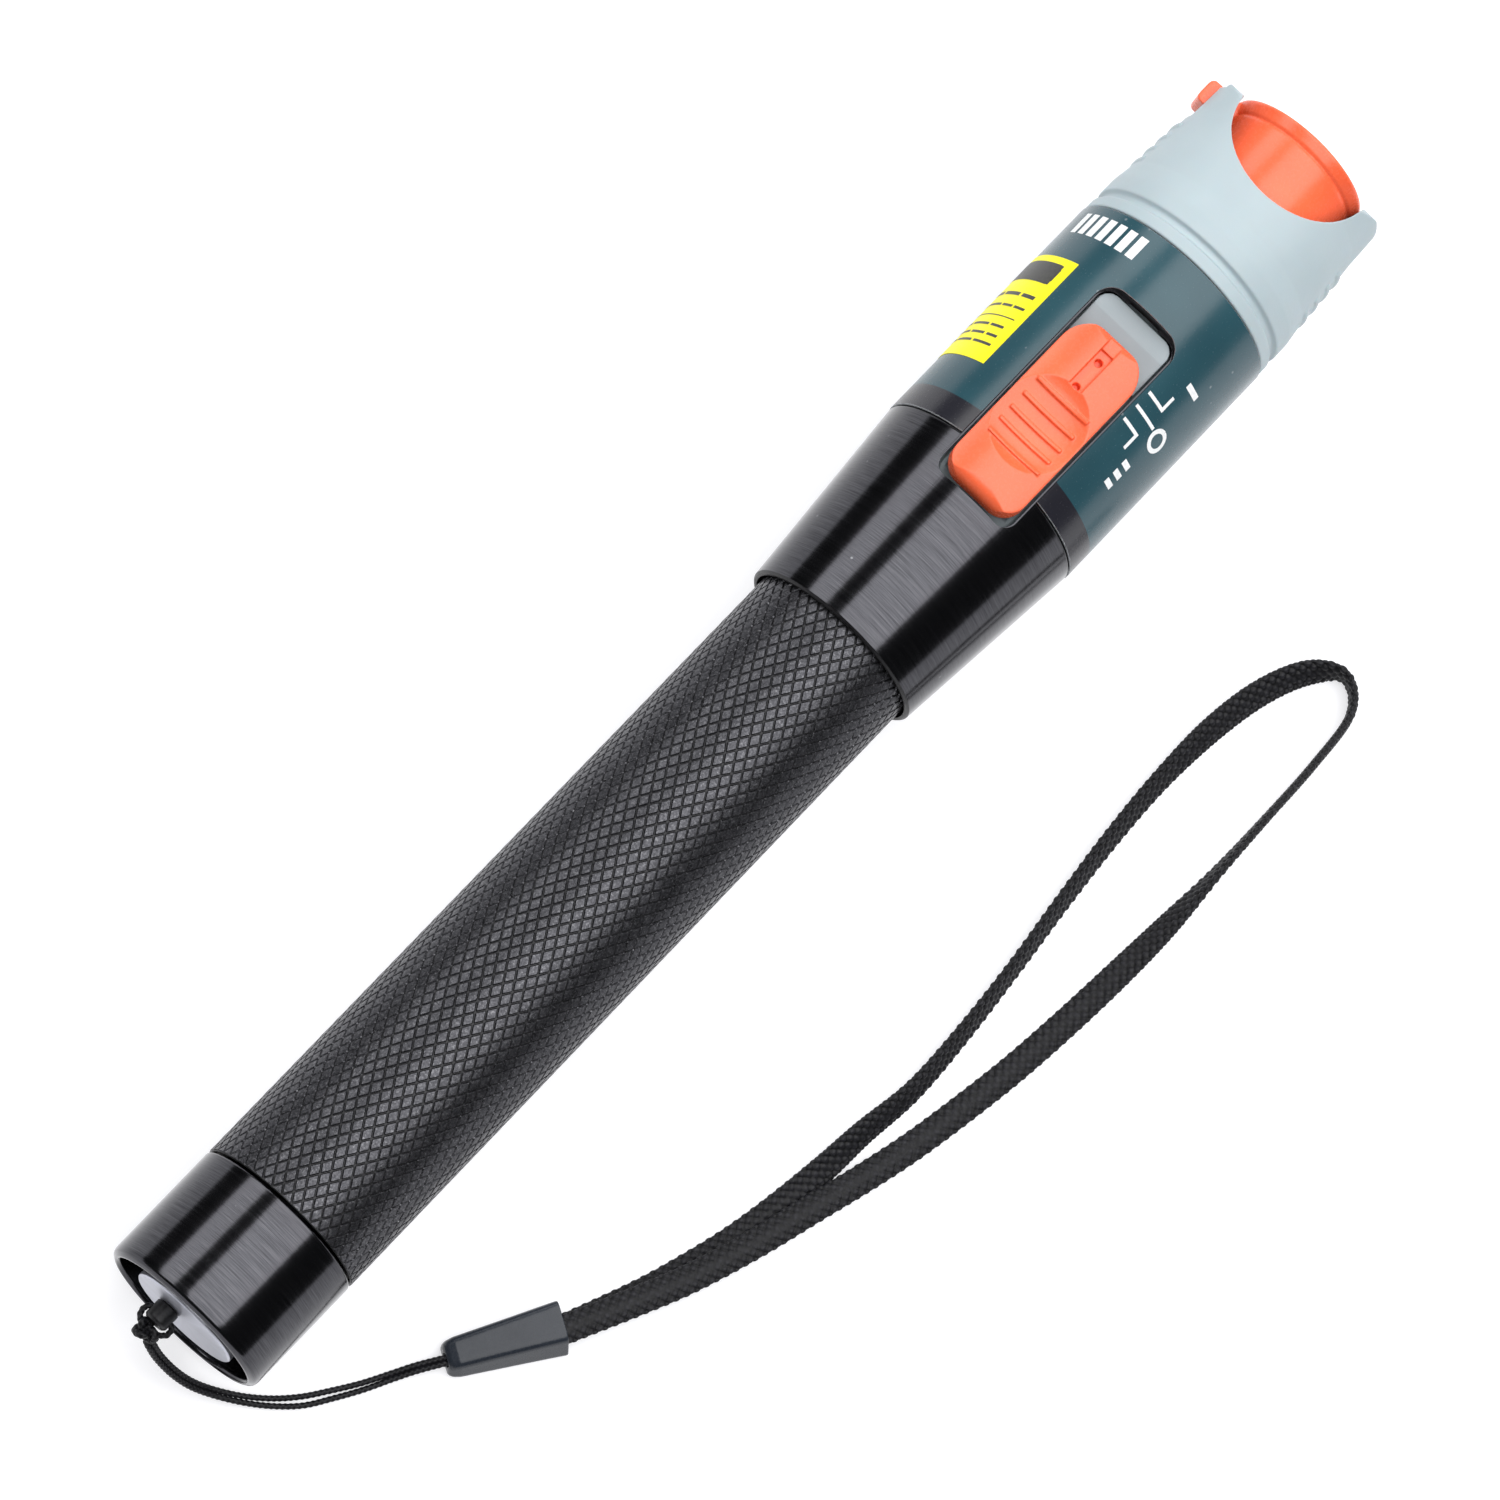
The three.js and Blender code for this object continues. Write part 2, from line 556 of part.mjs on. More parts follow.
// The strap leaves the clip low, turns back at its far end and comes to lie on itself.
const STRAP_LOW = FLOOR + 0.62;
const STRAP_HIGH = FLOOR + 1.95;
const STRAP_ROUTE = [
  [-70.1, -29.4, FLOOR + 1.1], [-62.6, -32.7, STRAP_LOW], [-57.0, -34.7, STRAP_LOW],
  [-51.0, -36.4, STRAP_LOW], [-44.8, -37.6, STRAP_LOW], [-38.6, -38.2, STRAP_LOW],
  [-33.0, -38.4, STRAP_LOW], [-25.9, -38.8, STRAP_LOW], [-17.6, -38.5, STRAP_LOW],
  [-8.7, -37.7, STRAP_LOW], [0.6, -36.6, STRAP_LOW], [9.8, -35.7, STRAP_LOW],
  [18.3, -35.3, STRAP_LOW], [26.2, -35.6, STRAP_LOW], [33.1, -36.8, STRAP_LOW],
  [38.3, -39.1, STRAP_LOW], [40.6, -42.4, STRAP_LOW], [37.9, -45.4, STRAP_LOW],
  [31.0, -46.2, STRAP_LOW], [22.7, -46.4, STRAP_LOW], [14.2, -46.5, STRAP_LOW],
  [6.1, -46.5, STRAP_LOW], [-1.7, -46.2, STRAP_LOW], [-9.3, -45.7, STRAP_LOW],
  [-16.6, -45.0, STRAP_LOW], [-23.5, -44.0, STRAP_LOW], [-30.3, -42.8, FLOOR + 1.2],
  [-36.7, -41.3, FLOOR + 1.8], [-43.0, -39.6, STRAP_HIGH], [-50.0, -37.7, STRAP_HIGH],
  [-57.3, -35.3, STRAP_HIGH], [-63.0, -32.9, FLOOR + 2.1], [-69.9, -29.7, FLOOR + 2.4],
];

// Moves a route sideways in plan, to the left of its direction of travel.
function beside(route, distance) {
  return route.map(([x, y, z], i) => {
    const a = route[Math.max(i - 1, 0)];
    const b = route[Math.min(i + 1, route.length - 1)];
    const along = Math.hypot(b[0] - a[0], b[1] - a[1]);
    return [x - (distance * (b[1] - a[1])) / along, y + (distance * (b[0] - a[0])) / along, z];
  });
}

function lanyardClip() {
  const [nx, ny] = CLIP.narrow;
  const [wx, wy] = CLIP.wide;
  const long = Math.hypot(wx - nx, wy - ny);
  const nose = 1.5;
  const s = new THREE.Shape();
  s.moveTo(long, -CLIP.wideW / 2);
  s.lineTo(long, CLIP.wideW / 2);
  s.lineTo(nose, CLIP.narrowW / 2);
  s.quadraticCurveTo(0, CLIP.narrowW / 2, 0, CLIP.narrowW / 2 - nose);
  s.lineTo(0, nose - CLIP.narrowW / 2);
  s.quadraticCurveTo(0, -CLIP.narrowW / 2, nose, -CLIP.narrowW / 2);
  return new THREE.ExtrudeGeometry(s, { depth: CLIP.high, bevelEnabled: false, curveSegments: 4 })
    .rotateZ(Math.atan2(wy - ny, wx - nx))
    .translate(nx, ny, FLOOR + 0.05);
}

const knot = new THREE.SphereGeometry(1, 16, 10).scale(0.8, 1.15, 0.95).translate(...KNOT);
const strapSection = new THREE.Shape([
  new THREE.Vector2(-STRAP.thick / 2, 0.3 - STRAP.width / 2),
  new THREE.Vector2(0.3 - STRAP.thick / 2, -STRAP.width / 2),
  new THREE.Vector2(STRAP.thick / 2 - 0.3, -STRAP.width / 2),
  new THREE.Vector2(STRAP.thick / 2, 0.3 - STRAP.width / 2),
  new THREE.Vector2(STRAP.thick / 2, STRAP.width / 2 - 0.3),
  new THREE.Vector2(STRAP.thick / 2 - 0.3, STRAP.width / 2),
  new THREE.Vector2(0.3 - STRAP.thick / 2, STRAP.width / 2),
  new THREE.Vector2(-STRAP.thick / 2, STRAP.width / 2 - 0.3),
]);

add("cord_loop", sweep(CORD_LOOP, roundSection(CORD_R), 12), "textile");
add("cord_knot", knot, "textile");
add("cord_run_left", sweep(beside(CORD_RUN, STRAND_SPREAD), roundSection(CORD_R), 18), "textile");
add("cord_run_right", sweep(beside(CORD_RUN, -STRAND_SPREAD), roundSection(CORD_R), 18), "textile");
add("lanyard_clip", lanyardClip(), "slate");
add("lanyard_strap", sweep(STRAP_ROUTE, strapSection, 76), "textile");

// ---- frame --------------------------------------------------------------------------
tool.position.set(-(POST.end + CAP.front) / 2, 0, AXIS_HEIGHT);
const group = new THREE.Group();
group.add(tool);
export default group;
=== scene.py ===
"""Looks of the pen-shaped fibre fault finder: its camera, light, shapes and materials.

Shapes are built in millimetres. Stations run along the tool from the barrel's rear rim
and heights from the tool's axis, as in the CAD source; to_frame() turns them into the
frame's metres.
"""
import math

import bmesh
import bpy
import numpy as np
from mathutils import Matrix, Vector


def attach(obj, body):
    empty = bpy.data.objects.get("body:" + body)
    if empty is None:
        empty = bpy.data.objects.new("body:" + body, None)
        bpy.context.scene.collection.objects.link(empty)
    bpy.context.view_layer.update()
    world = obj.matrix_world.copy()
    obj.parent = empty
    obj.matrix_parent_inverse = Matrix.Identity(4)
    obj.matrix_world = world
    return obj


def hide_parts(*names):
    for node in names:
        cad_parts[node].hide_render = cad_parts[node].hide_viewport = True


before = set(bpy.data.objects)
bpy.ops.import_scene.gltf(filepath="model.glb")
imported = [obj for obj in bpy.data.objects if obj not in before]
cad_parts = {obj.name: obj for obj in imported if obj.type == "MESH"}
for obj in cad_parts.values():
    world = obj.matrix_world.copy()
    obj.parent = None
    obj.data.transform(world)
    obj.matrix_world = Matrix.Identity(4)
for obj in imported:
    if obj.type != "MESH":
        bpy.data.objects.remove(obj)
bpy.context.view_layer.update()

# ---- driving dimensions, in millimetres -----------------------------------------------
ORIGIN = np.array([13.0, 0.0, 13.0])  # the barrel's rear rim on the axis, in the frame
FLOOR = -13.0  # the surface the tool lies on, seen from the axis
ROUND = 224  # facets round the big turned pieces
SMALL_ROUND = 96  # facets round the small ones
HOLE_ROUND = 32  # facets round pins and small holes
ARC_ROUND = 160  # facets round a large arc seen from the side

TUBE_R = 10.1
KNURL = {"rear": -84.9, "front": 1.9, "around": 47, "pitch": 2.13, "depth": 0.25, "land": 0.13}
WINDOW = {"rear": 18.9, "front": 46.9, "half": 5.2, "corner": 1.8, "ledge": 0.16}
LABEL = {"rear": 23.8, "front": 54.5, "inner": 12.72, "outer": 13.0, "half": 5.42, "band": 26.8}
PANEL = {"rear": 31.5, "front": 46.8, "start": 43.0, "end": 105.0, "inner": 13.0, "outer": 13.05}
PRINT_R = 13.03  # ink on the label
PANEL_PRINT_R = 13.07  # ink on the yellow panel
CORD_R = 0.35
STRAP = {"width": 3.3, "thick": 1.0}

# Where the camera stands in the frame, in metres, and its turn in degrees.
CAMERA = {"lens": 204.65, "place": (-0.22946, -0.01967, 0.88208), "turn": (11.5485, -9.2588, -47.2233)}
# Each lamp: name, direction in degrees, distance and size in metres, power in watts.
LAMPS = [
    ("main_softbox", (-12, 14), 1.5, (2.6, 1.6), 43),
    ("fill_softbox", (47, 14), 1.6, (2.6, 0.74), 18),
]
ROOM_LIGHT = {"color": (0.93, 0.96, 1, 1), "strength": 0.07}
FLOOR_HALF = 3.0  # metres
FLOOR_DROP = 0.00005  # metres, so that the floor never touches the tool
FLOOR_GLOW = 1.1


def to_frame(points):
    """Millimetres from the barrel's rear rim, as metres in the frame."""
    return (np.asarray(points, float) + ORIGIN) / 1000


def placed(name, data):
    """A new object in the scene that shows a mesh, lamp or camera."""
    obj = bpy.data.objects.new(name, data)
    bpy.context.scene.collection.objects.link(obj)
    return obj


# ---- camera and light -----------------------------------------------------------------
def make_camera():
    data = bpy.data.cameras.new("camera")
    data.sensor_width = 36
    data.lens = CAMERA["lens"]
    data.clip_start = 0.05
    data.clip_end = 20
    camera = placed("camera", data)
    camera.location = CAMERA["place"]
    camera.rotation_euler = [math.radians(a) for a in CAMERA["turn"]]
    bpy.context.scene.camera = camera


def make_softbox(name, towards, distance, size, power):
    """A rectangular lamp that faces the tool from the direction given by two angles: its
    tilt from straight up towards +Y, and its lean along +X."""
    tilt, lean = (math.radians(a) for a in towards)
    level = math.cos(lean)
    back = Vector((math.sin(lean), math.sin(tilt) * level, math.cos(tilt) * level))
    side = back.cross(Vector((1, 0, 0))).normalized()
    data = bpy.data.lights.new(name, "AREA")
    data.shape = "RECTANGLE"
    data.size, data.size_y = size
    data.energy = power
    turn = Matrix((side.cross(back), side, back)).transposed().to_4x4()
    placed(name, data).matrix_world = Matrix.Translation(back * distance) @ turn


def make_light():
    for lamp in LAMPS:
        make_softbox(*lamp)
    world = bpy.data.worlds.new("studio")
    world.use_nodes = True
    background = world.node_tree.nodes["Background"]
    background.inputs["Color"].default_value = ROOM_LIGHT["color"]
    background.inputs["Strength"].default_value = ROOM_LIGHT["strength"]
    bpy.context.scene.world = world
    bpy.context.scene.view_settings.view_transform = "Standard"


def make_floor():
    ends = (-FLOOR_HALF, FLOOR_HALF)
    mesh = bpy.data.meshes.new("floor")
    mesh.from_pydata([(x, y, -FLOOR_DROP) for x in ends for y in ends], [], [(0, 2, 3, 1)])
    material, tree, shader = new_material("floor", roughness=0.9, specular=0.1)
    tone = ramp(tree, noise(tree, 40, detail=3), [(0.3, (0.51, 0.51, 0.52)), (0.7, (0.54, 0.54, 0.55))])
    feed(shader, "Base Color", tone)
    feed(shader, "Emission Color", tone)
    feed(shader, "Emission Strength", FLOOR_GLOW)
    mesh.materials.append(material)
    placed("floor", mesh)


# ---- node helpers ---------------------------------------------------------------------
def new_material(name, color=(0.5, 0.5, 0.5), roughness=0.5, metallic=0.0, specular=0.5, **more):
    material = bpy.data.materials.new(name)
    material.use_nodes = True
    tree = material.node_tree
    shader = tree.nodes["Principled BSDF"]
    shader.inputs["Base Color"].default_value = (*color, 1)
    shader.inputs["Roughness"].default_value = roughness
    shader.inputs["Metallic"].default_value = metallic
    shader.inputs["Specular IOR Level"].default_value = specular
    for socket, value in more.items():
        shader.inputs[socket.replace("_", " ")].default_value = value
    return material, tree, shader


def feed(node, socket, value):
    """Links a socket, or sets a plain value."""
    if isinstance(value, bpy.types.NodeSocket):
        node.id_data.links.new(value, node.inputs[socket])
    else:
        node.inputs[socket].default_value = value


def math_node(tree, operation, *values):
    node = tree.nodes.new("ShaderNodeMath")
    node.operation = operation
    for i, value in enumerate(values):
        feed(node, i, value)
    return node.outputs[0]


def object_point(tree):
    return tree.nodes.new("ShaderNodeTexCoord").outputs["Object"]


def object_axes(tree):
    split = tree.nodes.new("ShaderNodeSeparateXYZ")
    feed(split, 0, object_point(tree))
    return split.outputs


def tool_point(tree, along, around):
    """A point whose x is the station times along, and whose y and z are those of a circle of
    radius around, so that a noise of it is drawn out round the tool's axis."""
    x, y, z = object_axes(tree)
    height = math_node(tree, "SUBTRACT", z, ORIGIN[2] / 1000)
    angle = math_node(tree, "ARCTAN2", y, height)
    joined = tree.nodes.new("ShaderNodeCombineXYZ")
    feed(joined, 0, math_node(tree, "MULTIPLY", x, along))
    feed(joined, 1, math_node(tree, "MULTIPLY", math_node(tree, "COSINE", angle), around))
    feed(joined, 2, math_node(tree, "MULTIPLY", math_node(tree, "SINE", angle), around))
    return joined.outputs[0]


def station(tree):
    """Station along the tool, in millimetres from the barrel's rear rim."""
    return math_node(tree, "MULTIPLY_ADD", object_axes(tree)[0], 1000, -ORIGIN[0])


def noise(tree, scale, detail=4, rough=0.55, point=None):
    node = tree.nodes.new("ShaderNodeTexNoise")
    feed(node, "Vector", object_point(tree) if point is None else point)
    feed(node, "Scale", scale)
    feed(node, "Detail", detail)
    feed(node, "Roughness", rough)
    return node.outputs["Fac"]


def cells(tree, scale, feature="F1"):
    node = tree.nodes.new("ShaderNodeTexVoronoi")
    node.feature = feature
    feed(node, "Vector", object_point(tree))
    feed(node, "Scale", scale)
    return node.outputs["Distance"]


def ramp(tree, value, stops):
    node = tree.nodes.new("ShaderNodeValToRGB")
    elements = node.color_ramp.elements
    while len(elements) < len(stops):
        elements.new(0.5)
    for element, (place, color) in zip(elements, stops):
        element.position = place
        element.color = (*color, 1)
    feed(node, "Fac", value)
    return node.outputs["Color"]


def spread(tree, value, low, high, to_low, to_high):
    node = tree.nodes.new("ShaderNodeMapRange")
    for i, number in enumerate((value, low, high, to_low, to_high)):
        feed(node, i, number)
    return node.outputs[0]


def mixed(tree, share, first, second):
    node = tree.nodes.new("ShaderNodeMix")
    node.data_type = "RGBA"
    feed(node, 0, share)
    for socket, color in ((6, first), (7, second)):
        feed(node, socket, (*color, 1) if isinstance(color, tuple) else color)
    return node.outputs[2]


def tint(tree, shader, value, low, high):
    """A base colour between two, as a noise goes through the middle of its range."""
    feed(shader, "Base Color", ramp(tree, value, [(0.3, low), (0.7, high)]))


def gloss(tree, shader, value, low, high):
    """A roughness between two, as a noise goes through the middle of its range."""
    feed(shader, "Roughness", spread(tree, value, 0.3, 0.7, low, high))


def bump(tree, shader, height, depth, strength):
    """depth is the height's full range in millimetres."""
    node = tree.nodes.new("ShaderNodeBump")
    feed(node, "Strength", strength)
    feed(node, "Distance", depth / 1000)
    feed(node, "Height", height)
    feed(shader, "Normal", node.outputs[0])


def dust(tree, base, amount=0.12):
    """A few pale specks on a colour."""
    mask = spread(tree, cells(tree, 300), 0.03, 0.06, amount, 0.0)
    return mixed(tree, mask, base, (0.7, 0.72, 0.75))


def turn_tangent(tree, shader):
    """Draws out the highlights round the tool's axis."""
    tangent = tree.nodes.new("ShaderNodeTangent")
    tangent.direction_type = "RADIAL"
    tangent.axis = "X"
    feed(shader, "Tangent", tangent.outputs[0])


def hollow_shade_mask(tree, low, high):
    """0 in the hollows of a surface and 1 on its flats and ridges, from the mesh's pointiness: a mask for
    painted shade in the hollows.
    """
    geometry = tree.nodes.new("ShaderNodeNewGeometry")
    return spread(tree, geometry.outputs["Pointiness"], low, high, 0.0, 1.0)


# ---- materials ------------------------------------------------------------------------
BRAID_HEIGHT = "braid_height"  # the attribute in which braided() leaves its relief; yarn() paints shade where it is low
QUARTER = 0.25  # turns the stretch of a highlight from along the tangent to across it


def brushed_black():
    """Black anodised aluminium with fine turning lines round the axis."""
    material, tree, shader = new_material(
        "brushed_black", metallic=1.0, Anisotropic=0.6, Anisotropic_Rotation=QUARTER
    )
    lines = noise(tree, 1.0, detail=5, rough=0.7, point=tool_point(tree, 9000, 2.2))
    tone = ramp(tree, lines, [(0.3, (0.03, 0.03, 0.034)), (0.72, (0.085, 0.085, 0.093))])
    feed(shader, "Base Color", dust(tree, tone))
    both = math_node(tree, "MULTIPLY_ADD", noise(tree, 90), 0.25, lines)
    feed(shader, "Roughness", spread(tree, both, 0.35, 0.9, 0.12, 0.24))
    bump(tree, shader, lines, 0.006, 0.4)
    turn_tangent(tree, shader)
    return material


def knurled_black():
    """Black anodised aluminium with painted shade darkening the grooves; grainy and a little worn on the
    lands.
    """
    material, tree, shader = new_material("knurled_black", metallic=0.9)
    grain = noise(tree, 4200, rough=0.75)
    stops = [(0.3, (0.022, 0.022, 0.025)), (0.55, (0.065, 0.065, 0.072)), (0.72, (0.19, 0.19, 0.2))]
    # painted shade: the grooves take this near-black colour and the lands take the grainy tone
    groove = (0.01, 0.01, 0.011)
    feed(shader, "Base Color", mixed(tree, hollow_shade_mask(tree, 0.4, 0.47), groove, ramp(tree, grain, stops)))
    gloss(tree, shader, noise(tree, 700, detail=3), 0.22, 0.38)
    bump(tree, shader, grain, 0.06, 0.6)
    return material


def plain_black():
    """Black anodised aluminium inside bores, threads and ledges."""
    material, tree, shader = new_material("plain_black", metallic=0.5)
    grain = noise(tree, 2500)
    tint(tree, shader, grain, (0.008, 0.008, 0.009), (0.02, 0.02, 0.022))
    gloss(tree, shader, grain, 0.35, 0.5)
    return material


def label_skin():
    """Dark green-blue satin film, almost black at its rear edge."""
    material, tree, shader = new_material("label_skin", specular=0.45)
    grain = noise(tree, 3800, detail=3)
    cloud = noise(tree, 120, detail=2)
    green = ramp(tree, cloud, [(0.3, (0.0165, 0.059, 0.077)), (0.7, (0.021, 0.072, 0.092))])
    band = spread(tree, station(tree), LABEL["band"], LABEL["band"] + 0.08, 0, 1)
    feed(shader, "Base Color", dust(tree, mixed(tree, band, (0.014, 0.014, 0.02), green), 0.2))
    gloss(tree, shader, grain, 0.2, 0.28)
    bump(tree, shader, grain, 0.012, 0.35)
    return material


def film_edge():
    """The label's cut edge, which shows its pale core."""
    material, tree, shader = new_material("film_edge", roughness=0.6)
    tint(tree, shader, noise(tree, 1500), (0.35, 0.37, 0.39), (0.6, 0.62, 0.64))
    return material


def ink(name, low, high, specular=0.45):
    material, tree, shader = new_material(name, specular=specular)
    grain = noise(tree, 2600, detail=3)
    tint(tree, shader, grain, low, high)
    gloss(tree, shader, grain, 0.36, 0.48)
    return material


def moulded(name, low, high, rough, grain_depth=0.015, scatter=0.0, specular=0.45):
    """Injection-moulded plastic: fine skin texture and faint flow clouds."""
    material, tree, shader = new_material(
        name, specular=specular, Subsurface_Weight=scatter, Subsurface_Scale=0.0006
    )
    skin = noise(tree, 2600, rough=0.6)
    tint(tree, shader, noise(tree, 140, detail=2), low, high)
    gloss(tree, shader, skin, rough - 0.05, rough + 0.07)
    bump(tree, shader, skin, grain_depth, 0.5)
    return material


def metal(name, low, high, rough, turned=True):
    """Bare metal, with turning lines round the axis or with a plain grain."""
    stretch = 0.3 if turned else 0.0
    material, tree, shader = new_material(
        name, metallic=1.0, Anisotropic=stretch, Anisotropic_Rotation=QUARTER
    )
    scale, point = (1.0, tool_point(tree, 6000, 3)) if turned else (1800, None)
    lines = noise(tree, scale, rough=0.65, point=point)
    tint(tree, shader, lines, low, high)
    gloss(tree, shader, lines, rough - 0.06, rough + 0.08)
    bump(tree, shader, lines, 0.008, 0.4)
    if turned:
        turn_tangent(tree, shader)
    return material


def yarn():
    """Black polyester yarn with fine fibres, and painted shade that darkens it between the strands of the
    braid.
    """
    material, tree, shader = new_material("yarn", specular=0.22, Sheen_Weight=0.01, Sheen_Roughness=0.4)
    fibres = noise(tree, 6000, detail=3, rough=0.7)
    tufts = noise(tree, 1300, detail=2)
    tone = ramp(tree, tufts, [(0.3, (0.006, 0.006, 0.0075)), (0.7, (0.017, 0.017, 0.021))])
    # painted shade: where the braid's relief is low, between the strands, the yarn blends to near black
    crest = tree.nodes.new("ShaderNodeAttribute")
    crest.attribute_name = BRAID_HEIGHT
    share = spread(tree, crest.outputs["Fac"], 0.3, 0.85, 0.0, 1.0)
    feed(shader, "Base Color", mixed(tree, share, (0.0012, 0.0012, 0.0016), tone))
    gloss(tree, shader, fibres, 0.36, 0.55)
    bump(tree, shader, fibres, 0.06, 0.6)
    return material


def circuit_green():
    material, tree, shader = new_material("circuit_green", roughness=0.35)
    tracks = cells(tree, 500, "DISTANCE_TO_EDGE")
    tone = ramp(tree, tracks, [(0.04, (0.02, 0.16, 0.06)), (0.1, (0.008, 0.07, 0.025))])
    feed(shader, "Base Color", tone)
    bump(tree, shader, tracks, 0.03, 0.4)
    return material


def clear_glass():
    material, tree, shader = new_material("clear_glass", (0.9, 0.95, 1), 0.03, Transmission_Weight=0.9)
    gloss(tree, shader, noise(tree, 900), 0.02, 0.06)
    return material


MATERIALS = {}


def make_materials():
    MATERIALS.update(
        brushed=brushed_black(),
        knurled=knurled_black(),
        black=plain_black(),
        label=label_skin(),
        edge=film_edge(),
        white=ink("white_ink", (0.72, 0.74, 0.75), (0.84, 0.85, 0.86)),
        dark=ink("dark_ink", (0.02, 0.02, 0.018), (0.045, 0.045, 0.04)),
        yellow=ink("yellow_film", (0.93, 0.83, 0.01), (0.98, 0.89, 0.014), 0.2),
        grey=moulded(
            "pale_grey_plastic", (0.38, 0.455, 0.485), (0.405, 0.48, 0.51), 0.5, 0.02, 0.1, 0.35
        ),
        orange=moulded("orange_plastic", (0.85, 0.12, 0.046), (0.9, 0.145, 0.056), 0.25, 0.01, 0.04),
        slate=moulded(
            "slate_plastic", (0.017, 0.021, 0.029), (0.023, 0.028, 0.037), 0.26, 0.006, 0.0, 0.35
        ),
        # painted shade: the tray's plastic is made darker than the pale grey, for the shade in its recess
        # under the window
        tray=moulded("tray_plastic_painted_shade", (0.24, 0.28, 0.3), (0.28, 0.32, 0.34), 0.5, 0.02, 0.0, 0.3),
        nickel=metal("nickel", (0.4, 0.41, 0.46), (0.54, 0.55, 0.61), 0.4),
        steel=metal("steel", (0.42, 0.42, 0.43), (0.6, 0.6, 0.61), 0.3, False),
        brass=metal("brass", (0.62, 0.42, 0.14), (0.8, 0.58, 0.24), 0.28),
        rubber=moulded("seal_rubber", (0.01, 0.01, 0.01), (0.018, 0.018, 0.018), 0.6, 0.03),
        insulator=moulded("dark_insulator", (0.016, 0.017, 0.019), (0.024, 0.025, 0.028), 0.5),
        chip=moulded("chip_epoxy", (0.012, 0.012, 0.013), (0.02, 0.02, 0.021), 0.45, 0.02),
        wrap=moulded("cell_wrap", (0.05, 0.1, 0.2), (0.07, 0.13, 0.25), 0.28, 0.008),
        ceramic=moulded("ceramic", (0.82, 0.8, 0.74), (0.9, 0.88, 0.82), 0.2, 0.004),
        board=circuit_green(),
        glass=clear_glass(),
        yarn=yarn(),
    )


# ---- mesh helpers ---------------------------------------------------------------------
def mesh_of(name, points, faces):
    """A mesh in millimetres, welded, with its normals facing out."""
    mesh = bpy.data.meshes.new(name)
    mesh.from_pydata([tuple(p) for p in points], [], [tuple(f) for f in faces])
    work = bmesh.new()
    work.from_mesh(mesh)
    bmesh.ops.remove_doubles(work, verts=work.verts, dist=1e-5)
    bmesh.ops.dissolve_degenerate(work, edges=work.edges, dist=1e-6)
    bmesh.ops.recalc_face_normals(work, faces=work.faces)
    work.to_mesh(mesh)
    work.free()
    return mesh


def ring_faces(rows, around):
    """The quads between rows of around points each, where each row is a closed ring."""
    index = np.arange(rows * around).reshape(rows, around)
    beside = np.roll(index, -1, 1)
    return np.stack([index[:-1], beside[:-1], beside[1:], index[1:]], -1).reshape(-1, 4).tolist()


def end_faces(count, around):
    """The faces that close the first and the last ring of count points."""
    return [range(around), range(count - around, count)]


def skin(name, points, around, capped=True):
    """A mesh through rings of around points each, given one ring after another."""
    faces = ring_faces(len(points) // around, around)
    return mesh_of(name, points, end_faces(len(points), around) + faces if capped else faces)


def soften(outline, radius, closed=True, steps=4):
    """Rounds an outline's corners."""
    points = [np.array(p, float) for p in outline]
    last = len(points) - 1
    made = []
    for i, corner in enumerate(points):
        if not closed and i in (0, last):
            made.append(corner)
            continue
        before = points[i - 1] - corner
        after = points[(i + 1) % len(points)] - corner
        reach = min(radius, 0.4 * np.linalg.norm(before), 0.4 * np.linalg.norm(after))
        start = corner + before / np.linalg.norm(before) * reach
        end = corner + after / np.linalg.norm(after) * reach
        for k in range(steps + 1):
            t = k / steps
            made.append((1 - t) ** 2 * start + 2 * t * (1 - t) * corner + t * t * end)
    return made


def turned(name, outline, facets=ROUND, radius=0.15, closed=True):
    """An outline of (station, radius), softened and turned about the tool's axis."""
    profile = np.array(soften(outline, radius, closed))
    if closed:
        profile = np.vstack([profile, profile[:1]])
    angles = np.arange(facets) * 2 * math.pi / facets
    points = [(x, r * math.sin(a), r * math.cos(a)) for x, r in profile for a in angles]
    return skin(name, points, facets, capped=False)


def bar_mesh(name, section, axis, low, high):
    """A closed section of 2-D points pushed along an axis; axis 2 takes (x, y) points and
    axis 1 takes (x, z) points."""
    points = []
    for level in (low, high):
        for a, b in section:
            points.append((a, b, level) if axis == 2 else (a, level, b))
    return skin(name, points, len(section))


def circle(x, y, rx, ry=None, facets=SMALL_ROUND):
    ry = rx if ry is None else ry
    turns = [k * 2 * math.pi / facets for k in range(facets)]
    return [(x + rx * math.cos(a), y + ry * math.sin(a)) for a in turns]


def rod(name, x, across, r, axis, low, high, facets=HOLE_ROUND):
    """A round bar along an axis."""
    return bar_mesh(name, circle(x, across, r, facets=facets), axis, low, high)


def rounded(x0, x1, half, rear, front, steps=12):
    """A rectangle seen from above with one corner radius at the rear and one in front."""
    corners = [
        (x0 + rear, half - rear, rear, 90), (x0 + rear, rear - half, rear, 180),
        (x1 - front, front - half, front, 270), (x1 - front, half - front, front, 0),
    ]
    section = []
    for x, y, r, start in corners:
        for k in range(steps + 1):
            a = math.radians(start + 90 * k / steps)
            section.append((x + r * math.cos(a), y + r * math.sin(a)))
    return section


def block(x0, x1, y0, y1, z0, z1):
    return bar_mesh("block", [(x0, y0), (x1, y0), (x1, y1), (x0, y1)], 2, z0, z1)


def baked(obj):
    """The object's mesh with its modifiers applied."""
    graph = bpy.context.evaluated_depsgraph_get()
    return bpy.data.meshes.new_from_object(obj.evaluated_get(graph))


CUT, JOIN, KEEP_IN = "DIFFERENCE", "UNION", "INTERSECT"


